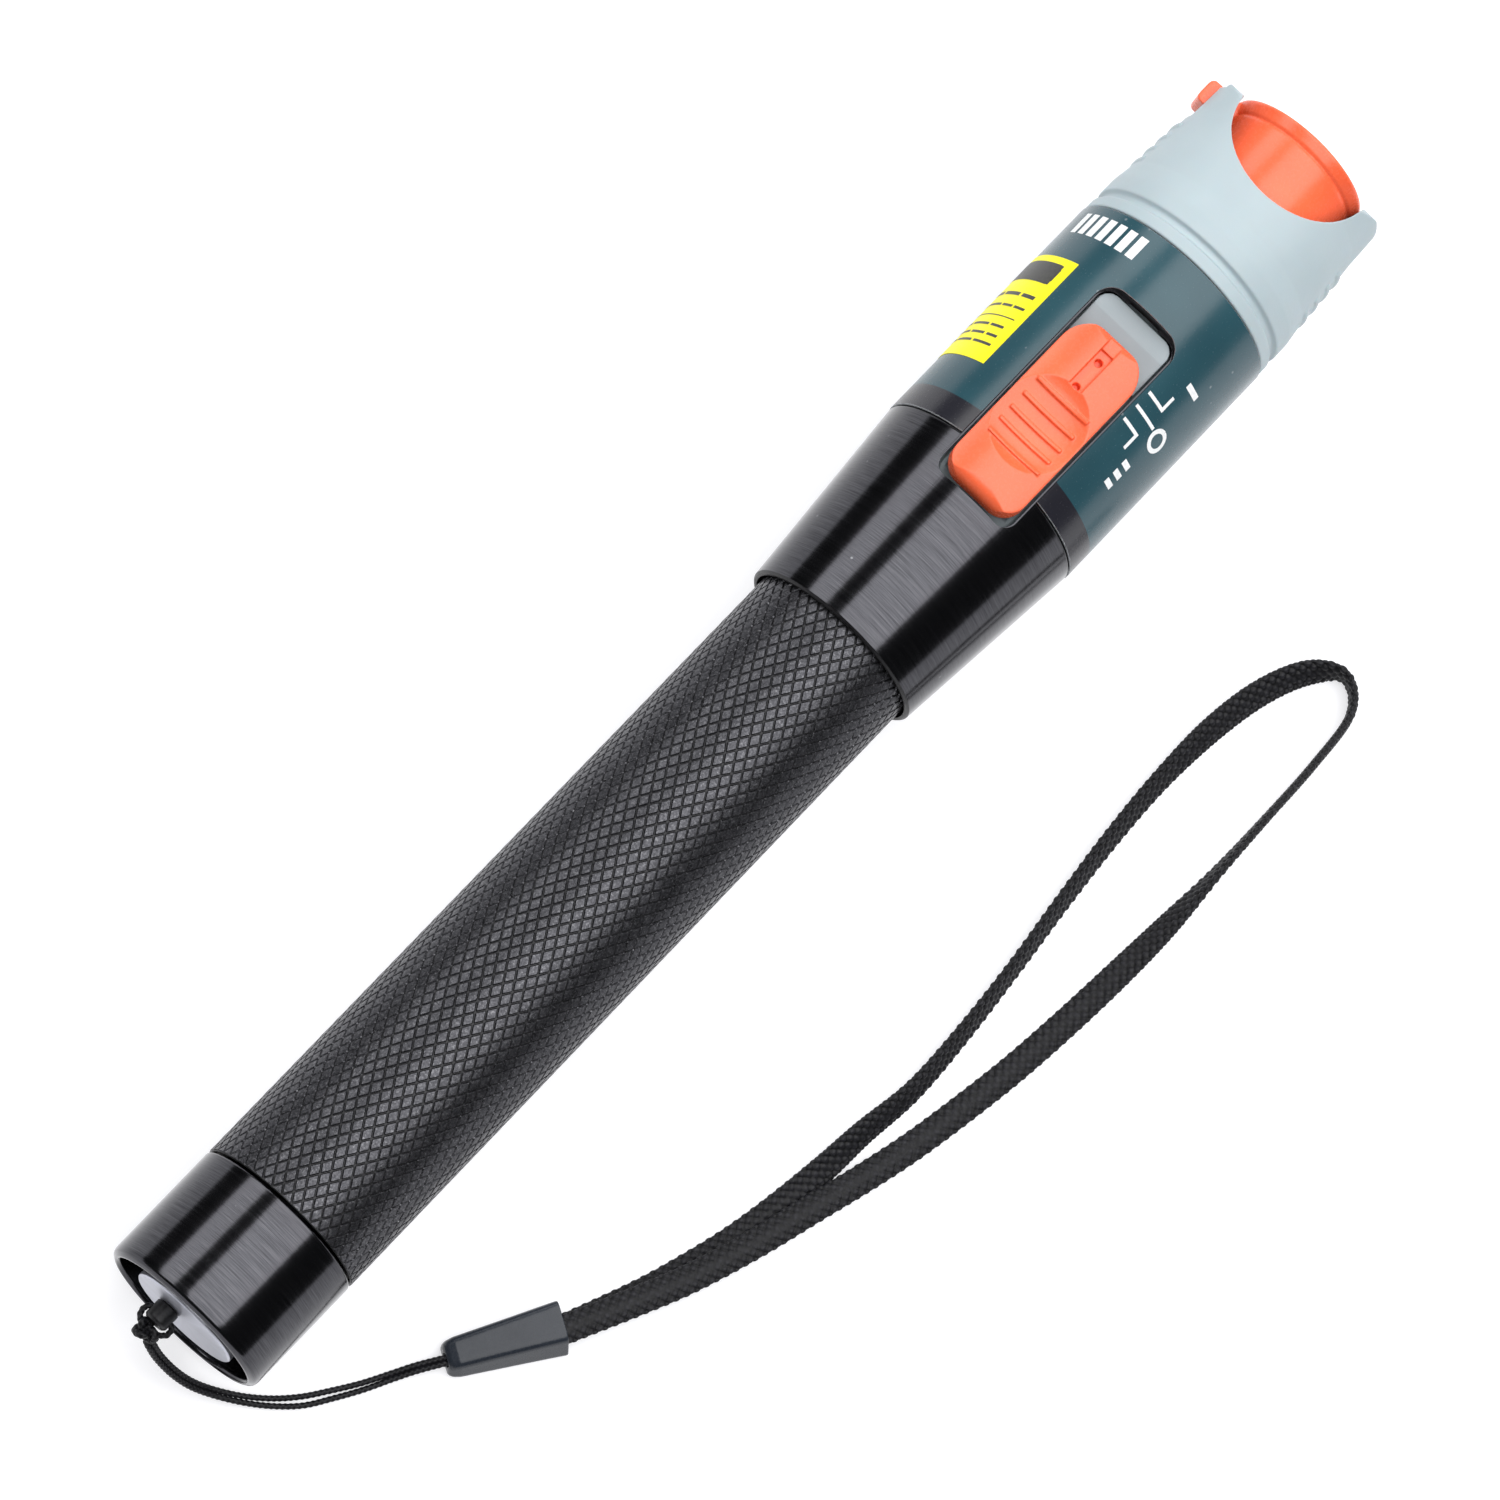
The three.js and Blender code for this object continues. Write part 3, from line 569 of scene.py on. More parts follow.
def combined(mesh, *steps):
    """Cuts, joins or intersects a mesh with others, in turn: steps are (operation, mesh)."""
    obj = placed(mesh.name, mesh)
    helpers = []
    for operation, other in steps:
        helper = placed(other.name, other)
        helpers.append(helper)
        modifier = obj.modifiers.new(operation, "BOOLEAN")
        modifier.operation = operation
        modifier.solver = "EXACT"
        modifier.object = helper
    made = baked(obj)
    for helper in [obj, *helpers]:
        bpy.data.objects.remove(helper)
    return made


def melted(mesh, voxel, rounds, keep):
    """Remeshes, smooths and thins a mesh, so that its edges are rounded as on a moulded part.
    keep is the share of the faces that stays."""
    obj = placed(mesh.name, mesh)
    remesh = obj.modifiers.new("remesh", "REMESH")
    remesh.mode = "VOXEL"
    remesh.voxel_size = voxel
    smooth = obj.modifiers.new("smooth", "SMOOTH")
    smooth.factor = 0.5
    smooth.iterations = rounds
    thin = obj.modifiers.new("thin", "DECIMATE")
    thin.ratio = keep
    made = baked(obj)
    bpy.data.objects.remove(obj)
    return made


def piece(name, mesh, body, material, nodes=(), sharp=35):
    """Puts a millimetre mesh into the frame as a piece that rides on a body."""
    count = len(mesh.vertices)
    flat = np.zeros(count * 3)
    mesh.vertices.foreach_get("co", flat)
    mesh.vertices.foreach_set("co", to_frame(flat.reshape(-1, 3)).ravel())
    mesh.update()
    mesh.shade_smooth()
    mesh.set_sharp_from_angle(angle=math.radians(sharp))
    if not mesh.materials:
        mesh.materials.append(MATERIALS[material])
    obj = placed(name, mesh)
    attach(obj, body)
    if nodes:
        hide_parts(*nodes)
    return obj


def painted(mesh, skin_name, rest_name, is_skin):
    """Gives the faces that is_skin(centre, normal) picks one material and the rest another."""
    mesh.materials.clear()
    mesh.materials.append(MATERIALS[skin_name])
    mesh.materials.append(MATERIALS[rest_name])
    for face in mesh.polygons:
        face.material_index = 0 if is_skin(face.center, face.normal) else 1


def faces_out(centre, normal):
    """Whether a face looks straight away from the tool's axis."""
    radius = math.hypot(centre[1], centre[2])
    return radius > 0 and (normal[1] * centre[1] + normal[2] * centre[2]) / radius > 0.9


def unit(vectors):
    """Each row of vectors, made one long."""
    return vectors / np.linalg.norm(vectors, axis=1)[:, None]


# ---- cords ----------------------------------------------------------------------------
CORD_BRAID = {"around": 32, "yarns": 3, "lay": 1.7, "relief": 0.1}
STRAP_BRAID = {"around": 84, "yarns": 7, "lay": 0.85, "relief": 0.32}
FINE = {"cord": 0.09, "strap": 0.11}  # steps along the routes
REST_GAP = 0.05  # between the floor and the strap's underside
EYE = (-100.75, 1.9, -0.6)  # the middle of the hole through the lanyard post
KNOT = (-102.9, 2.0, -1.3)
LOOP_UPPER = [
    EYE, (-100.75, 3.0, -0.6), (-101.0, 3.6, -0.65), (-101.8, 3.7, -0.9), (-102.5, 3.1, -1.15),
]
LOOP_LOWER = [
    EYE, (-100.75, 0.9, -0.6), (-101.0, 0.2, -0.7), (-101.8, 0.1, -1.0), (-102.5, 0.8, -1.3),
]
CORD_RUN = [
    (-103.2, 1.2, -2.2), (-103.4, 0.4, -3.1), (-103.4, -0.8, -4.9), (-103.1, -2.8, -7.2),
    (-102.4, -4.9, -9.4), (-101.2, -7.1, -11.2), (-99.4, -9.9, -12.2), (-97.4, -12.4, FLOOR + 0.45),
    (-95.1, -14.6, FLOOR + 0.45), (-92.4, -16.4, FLOOR + 0.45), (-89.6, -18.1, FLOOR + 0.45),
    (-86.7, -19.6, FLOOR + 0.6), (-84.3, -20.9, FLOOR + 1.0), (-81.6, -22.6, FLOOR + 1.5),
]
# How far apart the two strands lie at each point of the run.
STRAND_GAP = [0.5, 0.62, 0.62, 0.62, 0.62, 0.62, 0.66, 0.8, 0.95, 0.85, 0.72, 0.62, 0.62, 0.6]

# The strap's middle line: station, y, and how far it is turned on edge, in degrees.
STRAP_OUT = [
    (-71.5, -28.9, 0), (-62.6, -32.4, 0), (-57.0, -34.2, 0), (-51.0, -35.8, 4), (-44.8, -36.9, 12),
    (-38.6, -37.6, 26), (-33.0, -38.0, 40), (-25.9, -38.8, 52), (-17.6, -38.5, 58), (-8.7, -37.7, 62),
    (0.6, -36.6, 60), (9.8, -35.7, 56), (18.3, -35.3, 50), (26.2, -35.6, 35), (33.1, -36.8, 32),
    (38.3, -39.1, 45), (40.6, -42.4, 88), (37.9, -45.4, 94), (31.0, -46.2, 92), (22.7, -46.4, 88),
    (14.2, -46.5, 74), (6.1, -46.5, 42), (-1.7, -46.2, 22), (-9.3, -45.7, 14), (-16.6, -45.0, 10),
    (-23.5, -44.0, 6), (-30.3, -42.8, 2), (-36.7, -41.3, 0), (-43.0, -39.6, 0), (-50.0, -37.7, 0),
    (-57.3, -35.3, 0), (-63.0, -32.9, 0), (-71.3, -29.1, 0),
]
STACKED = 1.3  # the returning strand lies this far above the outgoing one near the clip
STACK_ENDS = (-43.0, -27.0)  # stations between which the upper strand comes down
CLIP_RISE = {"start": -57.0, "long": 14, "high": 0.5}  # how the strap climbs into the clip
FLAT_OVAL = 0.62  # the power that makes the strap's section a flattened oval
KNOT_SIZE = {"x": 0.31, "y": 0.42, "z": 0.52, "r": 0.42}


def smooth_route(points, step, measured=3):
    """A Catmull-Rom curve through the points, sampled about every step. Only the first
    measured numbers of a point are lengths."""
    points = np.asarray(points, float)
    padded = np.vstack([2 * points[0] - points[1], points, 2 * points[-1] - points[-2]])
    samples = []
    for i in range(1, len(padded) - 2):
        a, b, c, d = padded[i - 1 : i + 3]
        count = max(2, round(np.linalg.norm(c[:measured] - b[:measured]) / step))
        for t in np.arange(count) / count:
            square, cube = 2 * a - 5 * b + 4 * c - d, 3 * b - a - 3 * c + d
            samples.append(0.5 * (2 * b + (c - a) * t + square * t**2 + cube * t**3))
    samples.append(points[-1])
    return np.array(samples)


def braid_height(along, around, rings, yarns, lay):
    """Height from 0 to 1 of a one-over-one braid. along and around run over the cord; yarns
    is how many of each direction lie round it, and lay how many cross each millimetre."""
    first = along * lay + yarns * around / rings
    second = along * lay - yarns * around / rings
    column, row = np.floor(first), np.floor(second)
    over = 0.5 + 0.5 * np.cos(math.pi * (second - column - 0.5))
    under = 0.5 + 0.5 * np.cos(math.pi * (row - first - 0.5))
    first_arch = np.sqrt(np.clip(1 - (2 * (first - column) - 1) ** 2, 0, 1))
    second_arch = np.sqrt(np.clip(1 - (2 * (second - row) - 1) ** 2, 0, 1))
    return np.maximum(first_arch * over, second_arch * under)


def braided(name, route, roll, half_width, half_thick, around, yarns, lay, relief):
    """A braided cord or strap along a route: its section is an oval turned by roll degrees
    from lying flat, and its surface carries the braid."""
    forward = unit(np.gradient(route, axis=0))
    side = unit(np.cross(np.array([0, 0, 1.0]), forward))
    up = np.cross(forward, side)
    lean = np.radians(roll)[:, None]
    wide = side * np.cos(lean) + up * np.sin(lean)
    tall = up * np.cos(lean) - side * np.sin(lean)
    travelled = np.concatenate([[0], np.cumsum(np.linalg.norm(np.diff(route, axis=0), axis=1))])

    turn = np.arange(around) * 2 * math.pi / around
    power = FLAT_OVAL if half_width > half_thick else 1.0
    across = np.sign(np.cos(turn)) * np.abs(np.cos(turn)) ** power * half_width
    deep = np.sign(np.sin(turn)) * np.abs(np.sin(turn)) ** power * half_thick
    closed = np.stack([across, deep], 1)
    steps = np.linalg.norm(np.roll(closed, -1, 0) - closed, axis=1)
    arc = np.concatenate([[0], np.cumsum(steps)[:-1]])
    outward = unit(np.stack([across / half_width**2, deep / half_thick**2], 1))

    height = braid_height(travelled[:, None], arc[None, :], steps.sum(), yarns, lay)
    push = (height - 1) * relief
    flat = closed[None] + outward[None] * push[..., None]
    points = route[:, None] + wide[:, None] * flat[..., :1] + tall[:, None] * flat[..., 1:]
    faces = ring_faces(len(route), around) + end_faces(len(route) * around, around)
    mesh = mesh_of(name, points.reshape(-1, 3), faces)
    relief_share = mesh.attributes.new(BRAID_HEIGHT, "FLOAT", "POINT")
    relief_share.data.foreach_set("value", height.ravel())
    return mesh


def strand(loop, sign):
    """One half of the doubled cord: from the post's eye, round the loop and down to the clip."""
    run = np.array(CORD_RUN)
    ahead = np.gradient(run, axis=0)
    off = unit(np.stack([-ahead[:, 1], ahead[:, 0], np.zeros(len(run))], 1))
    run = run + off * (sign * np.array(STRAND_GAP) / 2)[:, None]
    return smooth_route(np.vstack([loop, run]), FINE["cord"])


def make_cords():
    for name, loop, sign, nodes in (
        ("lanyard_cord_upper", LOOP_UPPER, 1, ("cord_loop", "cord_run_left")),
        ("lanyard_cord_lower", LOOP_LOWER, -1, ("cord_run_right",)),
    ):
        route = strand(loop, sign)
        mesh = braided(name, route, np.zeros(len(route)), CORD_R, CORD_R, **CORD_BRAID)
        obj = piece(name, mesh, "tail", "yarn", nodes, sharp=80)


def make_knot():
    """A small overhand knot: a trefoil of cord pulled tight."""
    turns = np.linspace(0, 2 * math.pi, 260)
    x = KNOT_SIZE["x"] * (np.sin(turns) + 2 * np.sin(2 * turns))
    y = KNOT_SIZE["y"] * (np.cos(turns) - 2 * np.cos(2 * turns))
    z = -KNOT_SIZE["z"] * np.sin(3 * turns)
    route = (np.stack([x, y, z], 1) + np.array(KNOT))[:-1]
    mesh = braided("knot", route, np.zeros(len(route)), KNOT_SIZE["r"], KNOT_SIZE["r"], **CORD_BRAID)
    piece("lanyard_knot", mesh, "tail", "yarn", ("cord_knot",), sharp=80)


def make_strap():
    wide, thick = STRAP["width"], STRAP["thick"]
    plan = smooth_route(STRAP_OUT, FINE["strap"], measured=2)
    roll = plan[:, 2]
    lean = np.radians(roll)
    reach = (wide * np.abs(np.sin(lean)) + thick * np.abs(np.cos(lean))) / 2
    half_way = len(plan) // 2
    lift = np.interp(plan[:, 0], STACK_ENDS, (1.0, 0.0))
    lift[:half_way] = 0
    lift = lift * lift * (3 - 2 * lift) * STACKED
    into_clip = np.clip((CLIP_RISE["start"] - plan[:, 0]) / CLIP_RISE["long"], 0, 1) * CLIP_RISE["high"]
    route = plan.copy()
    route[:, 2] = FLOOR + reach + lift + into_clip + REST_GAP
    mesh = braided("strap", route, roll, wide / 2, thick / 2, **STRAP_BRAID)
    obj = piece("wrist_strap", mesh, "tail", "yarn", ("lanyard_strap",), sharp=80)


CLIP = {"narrow": (-81.7, -22.5), "wide": (-70.6, -29.1), "mouth": 3.5}
# Sections along the clip: share of its length, half width, height and corner radius.
CLIP_SECTIONS = [
    (0.0, 1.5, 1.7, 0.6), (0.012, 1.8, 2.1, 0.7), (0.04, 2.05, 2.4, 0.75), (0.1, 2.25, 2.7, 0.75),
    (0.35, 2.45, 3.05, 0.75), (0.7, 2.75, 3.4, 0.75), (0.92, 2.95, 3.55, 0.75), (0.985, 3.02, 3.55, 0.75),
    (1.0, 2.98, 3.5, 0.75),
]
# The clip's top edges as shares of its half width: its -Y side slopes, the other is steep.
CLIP_TOP = (-0.5, 0.92)
CLIP_WALL = 0.45


def clip_section(half, high, corner, lift=0.0):
    """A rounded section of the clip as (y, z)."""
    low_top, high_top = (half * share for share in CLIP_TOP)
    top = lift + high
    return soften([(-half, lift), (half, lift), (high_top, top), (low_top, top)], corner, steps=7)


def loft(name, sections):
    """Joins sections of equal numbers of points, each given as (station, points)."""
    points = [(x, y, z) for x, section in sections for y, z in section]
    return skin(name, points, len(sections[0][1]))


def make_clip():
    """The sleeve that joins the thin cord to the strap: a tapered shell with a rounded nose."""
    start, end = np.array(CLIP["narrow"]), np.array(CLIP["wide"])
    long = np.linalg.norm(end - start)
    body = loft("clip", [(s * long, clip_section(h, z, c)) for s, h, z, c in CLIP_SECTIONS])
    inside = clip_section(2.95 - CLIP_WALL, 3.5 - 2 * CLIP_WALL, 0.4, CLIP_WALL)
    hollow = loft("hollow", [(long - CLIP["mouth"], inside), (long + 1, inside)])
    cord_hole = bar_mesh("hole", [(-1, 0.9), (1.6, 0.9), (1.6, 1.8), (-1, 1.8)], 1, -0.75, 0.75)
    mesh = combined(body, (CUT, hollow), (CUT, cord_hole))
    mesh = melted(mesh, 0.09, rounds=6, keep=0.5)
    heading = math.atan2(*(end - start)[::-1])
    mesh.transform(Matrix.Translation((*start, FLOOR + 0.02)) @ Matrix.Rotation(heading, 4, "Z"))
    piece("lanyard_clip_shell", mesh, "tail", "slate", ("lanyard_clip",), sharp=60)


# ---- grip tube and tail ---------------------------------------------------------------
def thread(start, end, crest, depth, pitch):
    """A thread's outline as (station, radius), drawn as plain rings."""
    points = []
    x = start
    while x + pitch <= end:
        points += [(x, crest - depth), (x + pitch / 2, crest)]
        x += pitch
    return points


def knurl_mesh():
    """Diamond lands between two families of helical grooves, each land a flat-topped pyramid
    with a slightly crowned top. The rows at both ends are cut off by the tube's ends."""
    around, pitch = KNURL["around"], KNURL["pitch"]
    rear, front, land = KNURL["rear"], KNURL["front"], KNURL["land"]
    rows = int(math.ceil((front - rear) / (pitch / 2))) + 1
    base, top, crown = TUBE_R - KNURL["depth"], TUBE_R - 0.03, TUBE_R
    grid = [0, land, 0.5, 1 - land, 1]
    points, faces = [], []
    for row in range(-1, rows):
        for step in range(around):
            middle_turn = step + (0.5 if row % 2 else 0)
            middle_x = rear + row * pitch / 2 + pitch / 2
            first = len(points)
            for i, a in enumerate(grid):
                for j, b in enumerate(grid):
                    turn = (middle_turn + (a - b) / 2) * 2 * math.pi / around
                    x = min(max(middle_x + (a + b - 1) * pitch / 2, rear), front)
                    edge = i in (0, 4) or j in (0, 4)
                    r = base if edge else (crown if i == j == 2 else top)
                    points.append((x, r * math.sin(turn), r * math.cos(turn)))
            for i in range(4):
                for j in range(4):
                    k = first + 5 * i + j
                    faces.append((k, k + 5, k + 6, k + 1))
    return points, faces


def make_grip():
    knurl = mesh_of("knurl", *knurl_mesh())
    piece("knurled_grip", knurl, "housing", "knurled", (), sharp=12)
    bore, counterbore, mouth = 7.6, 8.9, 9.7
    core = turned("core", [
        (-85, mouth), (-85, TUBE_R - 0.2), (2, TUBE_R - 0.2), (2.3, 9.2),
        *thread(2.6, 14, 9.6, 0.4, 1.4), (14, 9.2), (14, bore), (-75, bore), (-75, counterbore),
        (-83.6, counterbore), (-83.6, mouth),
    ], radius=0.08)
    piece("grip_core", core, "housing", "black", ("grip_tube",))


POST = EYE[1:]  # y and z of the lanyard post's axis
SPRING = {"turns": 3, "rear": -91.6, "long": 2.3, "wide": 5.6, "taper": 1.4, "wire": 0.3, "around": 14}
CELL = {"r": 7.2, "can": 49.3, "nub": 1.1, "nub_r": 2.75, "wrap": 5.9}


def make_tail():
    cap = turned("cap", [
        (-93.3, 3.3), (-95.3, 3.3), (-95.3, 8.96), (-99.5, 8.96), (-99.8, 9.2), (-99.8, 9.45),
        (-99.45, 9.98), (-98.9, TUBE_R), (-85.5, TUBE_R), (-85.3, 9.95), (-85.3, 8.2),
        *thread(-83.4, -76, 8.6, 0.35, 1.2), (-76, 8.2), (-76, 7.6), (-93.3, 7.6),
    ], radius=0.22)
    piece("tail_cap_shell", cap, "tail", "brushed", ("tail_cap",))
    disc = turned("disc", [
        (-92, 0), (-92, 3), (-95.6, 3), (-95.6, 6.45), (-99.42, 6.45), (-99.6, 6.27), (-99.6, 0),
    ], radius=0.06, closed=False)
    shaft = turned("shaft", [(-101, 0), (-101, 1.2), (-98.6, 1.2), (-98.6, 0)], SMALL_ROUND, closed=False)
    shaft = shifted(shaft, *POST)
    disc = combined(disc, (CUT, shaft))
    piece("tail_disc_face", disc, "tail", "nickel", ("tail_disc",))
    post = turned("post", [
        (-97.9, 0), (-97.9, 0.95), (-99.7, 0.95), (-99.7, 1.4), (-101.6, 1.4), (-101.9, 1.1), (-101.9, 0),
    ], SMALL_ROUND, 0.1, closed=False)
    post = shifted(post, *POST)
    eye = rod("eye", EYE[0], EYE[2], 0.5, 1, -2, 6, SMALL_ROUND)
    post = combined(post, (CUT, eye))
    piece("post_shell", post, "tail", "black", ("lanyard_post",))
    contact = turned("contact", [(-93, 3.4), (-93, 6.8), (-92.4, 6.8), (-92.4, 3.4)], SMALL_ROUND, 0.1)
    piece("tail_contact_plate", contact, "tail", "brass", ("tail_contact",))
    seal = turned("seal", circle(-84.42, 9.12, 0.42, 0.37, 20), SMALL_ROUND, 0.01)
    piece("tail_seal", seal, "tail", "rubber", ("tail_o_ring",))
    make_spring()


def shifted(mesh, y, z):
    for vertex in mesh.vertices:
        vertex.co.y += y
        vertex.co.z += z
    return mesh


def make_spring():
    t = np.linspace(0, 1, 260)
    angle = t * SPRING["turns"] * 2 * math.pi
    r = SPRING["wide"] - SPRING["taper"] * t
    route = np.stack([SPRING["rear"] + SPRING["long"] * t, r * np.cos(angle), r * np.sin(angle)], 1)
    out = np.stack([np.zeros(len(t)), np.cos(angle), np.sin(angle)], 1)
    side = np.cross(unit(np.gradient(route, axis=0)), out)
    section = (np.arange(SPRING["around"]) * 2 * math.pi / SPRING["around"])[:, None]
    ring = out[:, None] * np.cos(section) + side[:, None] * np.sin(section)
    points = (route[:, None] + SPRING["wire"] * ring).reshape(-1, 3)
    mesh = skin("spring", points, SPRING["around"])
    piece("tail_spring_coil", mesh, "tail", "steel", ("tail_spring",))


def make_cells():
    r, inner, nub_r, bevel, lap = CELL["r"], CELL["wrap"], CELL["nub_r"], 0.2, 0.02
    for node, x in (("battery_rear", -88.7), ("battery_front", -38.0)):
        end = x + CELL["can"]
        nub = end + CELL["nub"]
        wrap = turned(node, [
            (x, inner), (x, r - bevel), (x + bevel, r), (end - bevel, r), (end, r - bevel), (end, inner),
        ], SMALL_ROUND, 0.2)
        piece(node + "_wrap", wrap, "cells", "wrap", (node,))
        ends = turned(node + "_ends", [
            (x + lap, 0), (x + lap, inner + 0.05), (end - lap, inner + 0.05),
            (end - lap, nub_r), (nub, nub_r), (nub, 0),
        ], SMALL_ROUND, 0.2, closed=False)
        piece(node + "_metal", ends, "cells", "steel", ())


# ---- barrel and label -----------------------------------------------------------------
def window_cut(grow, rear, low):
    corner = WINDOW["corner"]
    section = rounded(rear, WINDOW["front"] + grow, WINDOW["half"] + grow, corner, corner)
    return bar_mesh("window", section, 2, low, 20)


BRUSHED_R = 10.6  # the barrel's outside, all of which lies farther from the axis


def make_barrel():
    shell = turned("barrel", [
        (0, 10.45), (0, 10.8), (0.25, 11.05), (23.45, 12.93), (23.6, 12.8), (23.6, 12.68), (54.3, 12.68),
        (54.3, 11.2), (14.6, 11.2), (14.6, 9.9), (2.6, 9.9), (2.6, 10.45),
    ], radius=0.08)
    ledge = WINDOW["ledge"]
    mesh = combined(
        shell,
        (CUT, window_cut(0, WINDOW["rear"], 5)),
        (CUT, window_cut(ledge, WINDOW["rear"] - ledge / 2, 11)),
    )
    painted(mesh, "brushed", "black", lambda c, n: faces_out(c, n) and math.hypot(*c[1:]) > BRUSHED_R)
    piece("barrel_shell", mesh, "housing", "brushed", ("head_barrel",))


def film_outline(film):
    rear, front, inner, outer = (film[k] for k in ("rear", "front", "inner", "outer"))
    return [(rear, inner), (rear, outer), (front, outer), (front, inner)]


def make_label():
    sleeve = turned("label", film_outline(LABEL), radius=0.03)
    front = WINDOW["front"] + WINDOW["ledge"] + 0.1
    opening = bar_mesh("opening", rounded(10, front, LABEL["half"], 1, WINDOW["corner"] + 0.4), 2, 5, 20)
    mesh = combined(sleeve, (CUT, opening))
    painted(mesh, "label", "edge", faces_out)
    piece("label_film", mesh, "housing", "label", ("label_sleeve",))


def on_drum(x, degrees, radius):
    a = math.radians(degrees)
    return (x, radius * math.sin(a), radius * math.cos(a))


def ladder(first, count, faces):
    """Adds count faces between pairs of points, of which the first pair starts at first."""
    for a in range(first, first + 2 * count, 2):
        faces.append((a, a + 1, a + 3, a + 2))


def patch(x0, x1, start, end, radius, points, faces):
    """A rectangle of the label, from x0 to x1 and between two angles from the top."""
    steps = max(1, math.ceil(abs(end - start) / 2))
    first = len(points)
    for k in range(steps + 1):
        degrees = start + (end - start) * k / steps
        points += [on_drum(x0, degrees, radius), on_drum(x1, degrees, radius)]
    ladder(first, steps, faces)


def stroke(route, width, radius, points, faces):
    """A line of ink through (station, degrees) points, with mitred corners."""
    scale = radius * math.pi / 180
    flat = [np.array([x, d * scale]) for x, d in route]
    first = len(points)
    for i, p in enumerate(flat):
        before = flat[i] - flat[i - 1] if i else flat[1] - flat[0]
        after = flat[i + 1] - flat[i] if i + 1 < len(flat) else before
        a, b = (v / np.linalg.norm(v) for v in (before, after))
        mitre = np.array([-(a + b)[1], (a + b)[0]])
        mitre /= np.linalg.norm(mitre)
        share = abs(mitre @ np.array([-a[1], a[0]]))
        for side in (p + mitre * width / 2 / share, p - mitre * width / 2 / share):
            points.append(on_drum(side[0], side[1] / scale, radius))
    ladder(first, len(flat) - 1, faces)


def dense(route, step=1.5):
    """Adds points, so that a stroke bends with the drum."""
    made = [route[0]]
    for (x0, d0), (x1, d1) in zip(route, route[1:]):
        count = max(1, math.ceil(abs(d1 - d0) / step))
        for k in range(1, count + 1):
            made.append((x0 + (x1 - x0) * k / count, d0 + (d1 - d0) * k / count))
    return made


def ink_piece(name, points, faces, material):
    mesh = bpy.data.meshes.new(name)
    mesh.from_pydata(points, [], faces)
    piece(name, mesh, "housing", material, (), sharp=60)


WORD = {"marks": 7, "start": 25.5, "pitch": 6.8, "wide": 1.05, "rear": 50.4, "front": 53.3}
FINE_LINE, RING_LINE, DASH_LINE = 0.42, 0.55, 0.75  # widths of the printed lines
SYMBOL_RING = {"x": 38.9, "degrees": -50.5, "half_x": 1.15, "half_degrees": 5.1}
# The lines that lead from the button's three positions to their symbols.
LEADERS = [
    [(37.2, -26.8), (37.2, -38.3), (35.2, -38.3)],
    [(39.2, -26.8), (39.2, -43.2)],
    [(41.2, -26.9), (41.2, -39.0), (43.1, -39.0)],
]
DASHES = [(31.6, -43.6, -49.5), (33.0, -43.6, -49.5), (34.4, -43.6, -49.5), (45.3, -40.0, -50.0)]


def make_print():
    """White marks beside the button: three positions, each with a plain symbol (a dashed
    line, a ring and a full line), and a row of plain bars where the label has a word."""
    points, faces = [], []
    for route in LEADERS:
        stroke(dense(route), FINE_LINE, PRINT_R, points, faces)
    for x, start, end in DASHES:
        stroke(dense([(x, start), (x, end)]), DASH_LINE, PRINT_R, points, faces)
    x, degrees, half_x, half_degrees = SYMBOL_RING.values()
    turns = np.linspace(0, 2 * math.pi, 40)
    ring = [(x + half_x * math.cos(a), degrees + half_degrees * math.sin(a)) for a in turns]
    stroke(ring, RING_LINE, PRINT_R, points, faces)
    for k in range(WORD["marks"]):
        middle = WORD["start"] + WORD["pitch"] * k
        stroke([(WORD["rear"], middle), (WORD["front"], middle)], WORD["wide"], PRINT_R, points, faces)
    ink_piece("label_marks", points, faces, "white")


# Rows of bars on the panel: from station to station, and each bar's two angles.
PANEL_ROWS = [
    (40.65, 41.15, [(48.5, 58), (60, 74), (76, 90), (92, 101)]),
    (39.0, 39.35, [(48, 56), (57.5, 66), (67.5, 82), (84, 101)]),
    (37.53, 37.68, [(48, 101)]),
    (36.1, 36.45, [(50, 60), (62, 78), (80, 101)]),
    (34.8, 35.15, [(49, 57), (59, 71), (73, 88), (90, 101)]),
    (33.6, 33.95, [(48, 62), (64, 79), (81, 101)]),
]


def make_panel():
    """The yellow panel, with a plain dark block, a thin rule and bars in place of its text."""
    points = [
        on_drum(x, degrees, r)
        for degrees in np.linspace(PANEL["start"], PANEL["end"], 41)
        for x, r in film_outline(PANEL)
    ]
    piece("yellow_panel", skin("panel", points, 4), "housing", "yellow", ("yellow_patch",))
    points, faces = [], []
    patch(43.0, 45.9, 50.5, 101, PANEL_PRINT_R, points, faces)
    for corner in (43.35, 45.55):
        patch(corner - 0.3, corner + 0.3, 49, 50.6, PANEL_PRINT_R - 0.002, points, faces)
    patch(43.6, 45.3, 48.6, 50.6, PANEL_PRINT_R, points, faces)
    for x0, x1, words in PANEL_ROWS:
        for start, end in words:
            patch(x0, x1, start, end, PANEL_PRINT_R, points, faces)
    ink_piece("panel_marks", points, faces, "dark")


# ---- slide switch ---------------------------------------------------------------------
BUTTON = {"rear": 19.3, "front": 42.3, "half": 4.85, "bottom": 11.45, "top": 14.7}
RIBS = (25.3, 27.2, 29.0, 31.0, 33.1)
RIB_HIGH = 0.36  # ribs above the scoop's floor
END_ROUND = 1.9  # radius along the button's two top ends
SCOOP = {"x": 29.4, "half_x": 5.7, "half_y": 7.6, "depth": 1.5, "rise": 2.4}
SLOT_HALF = 0.85  # half the width of the groove in front of the scoop
DOTS = {"stations": (35.3, 38.9), "r": 0.46, "depth": 1.8}
ABOVE = 1  # how far a cutter reaches past a surface


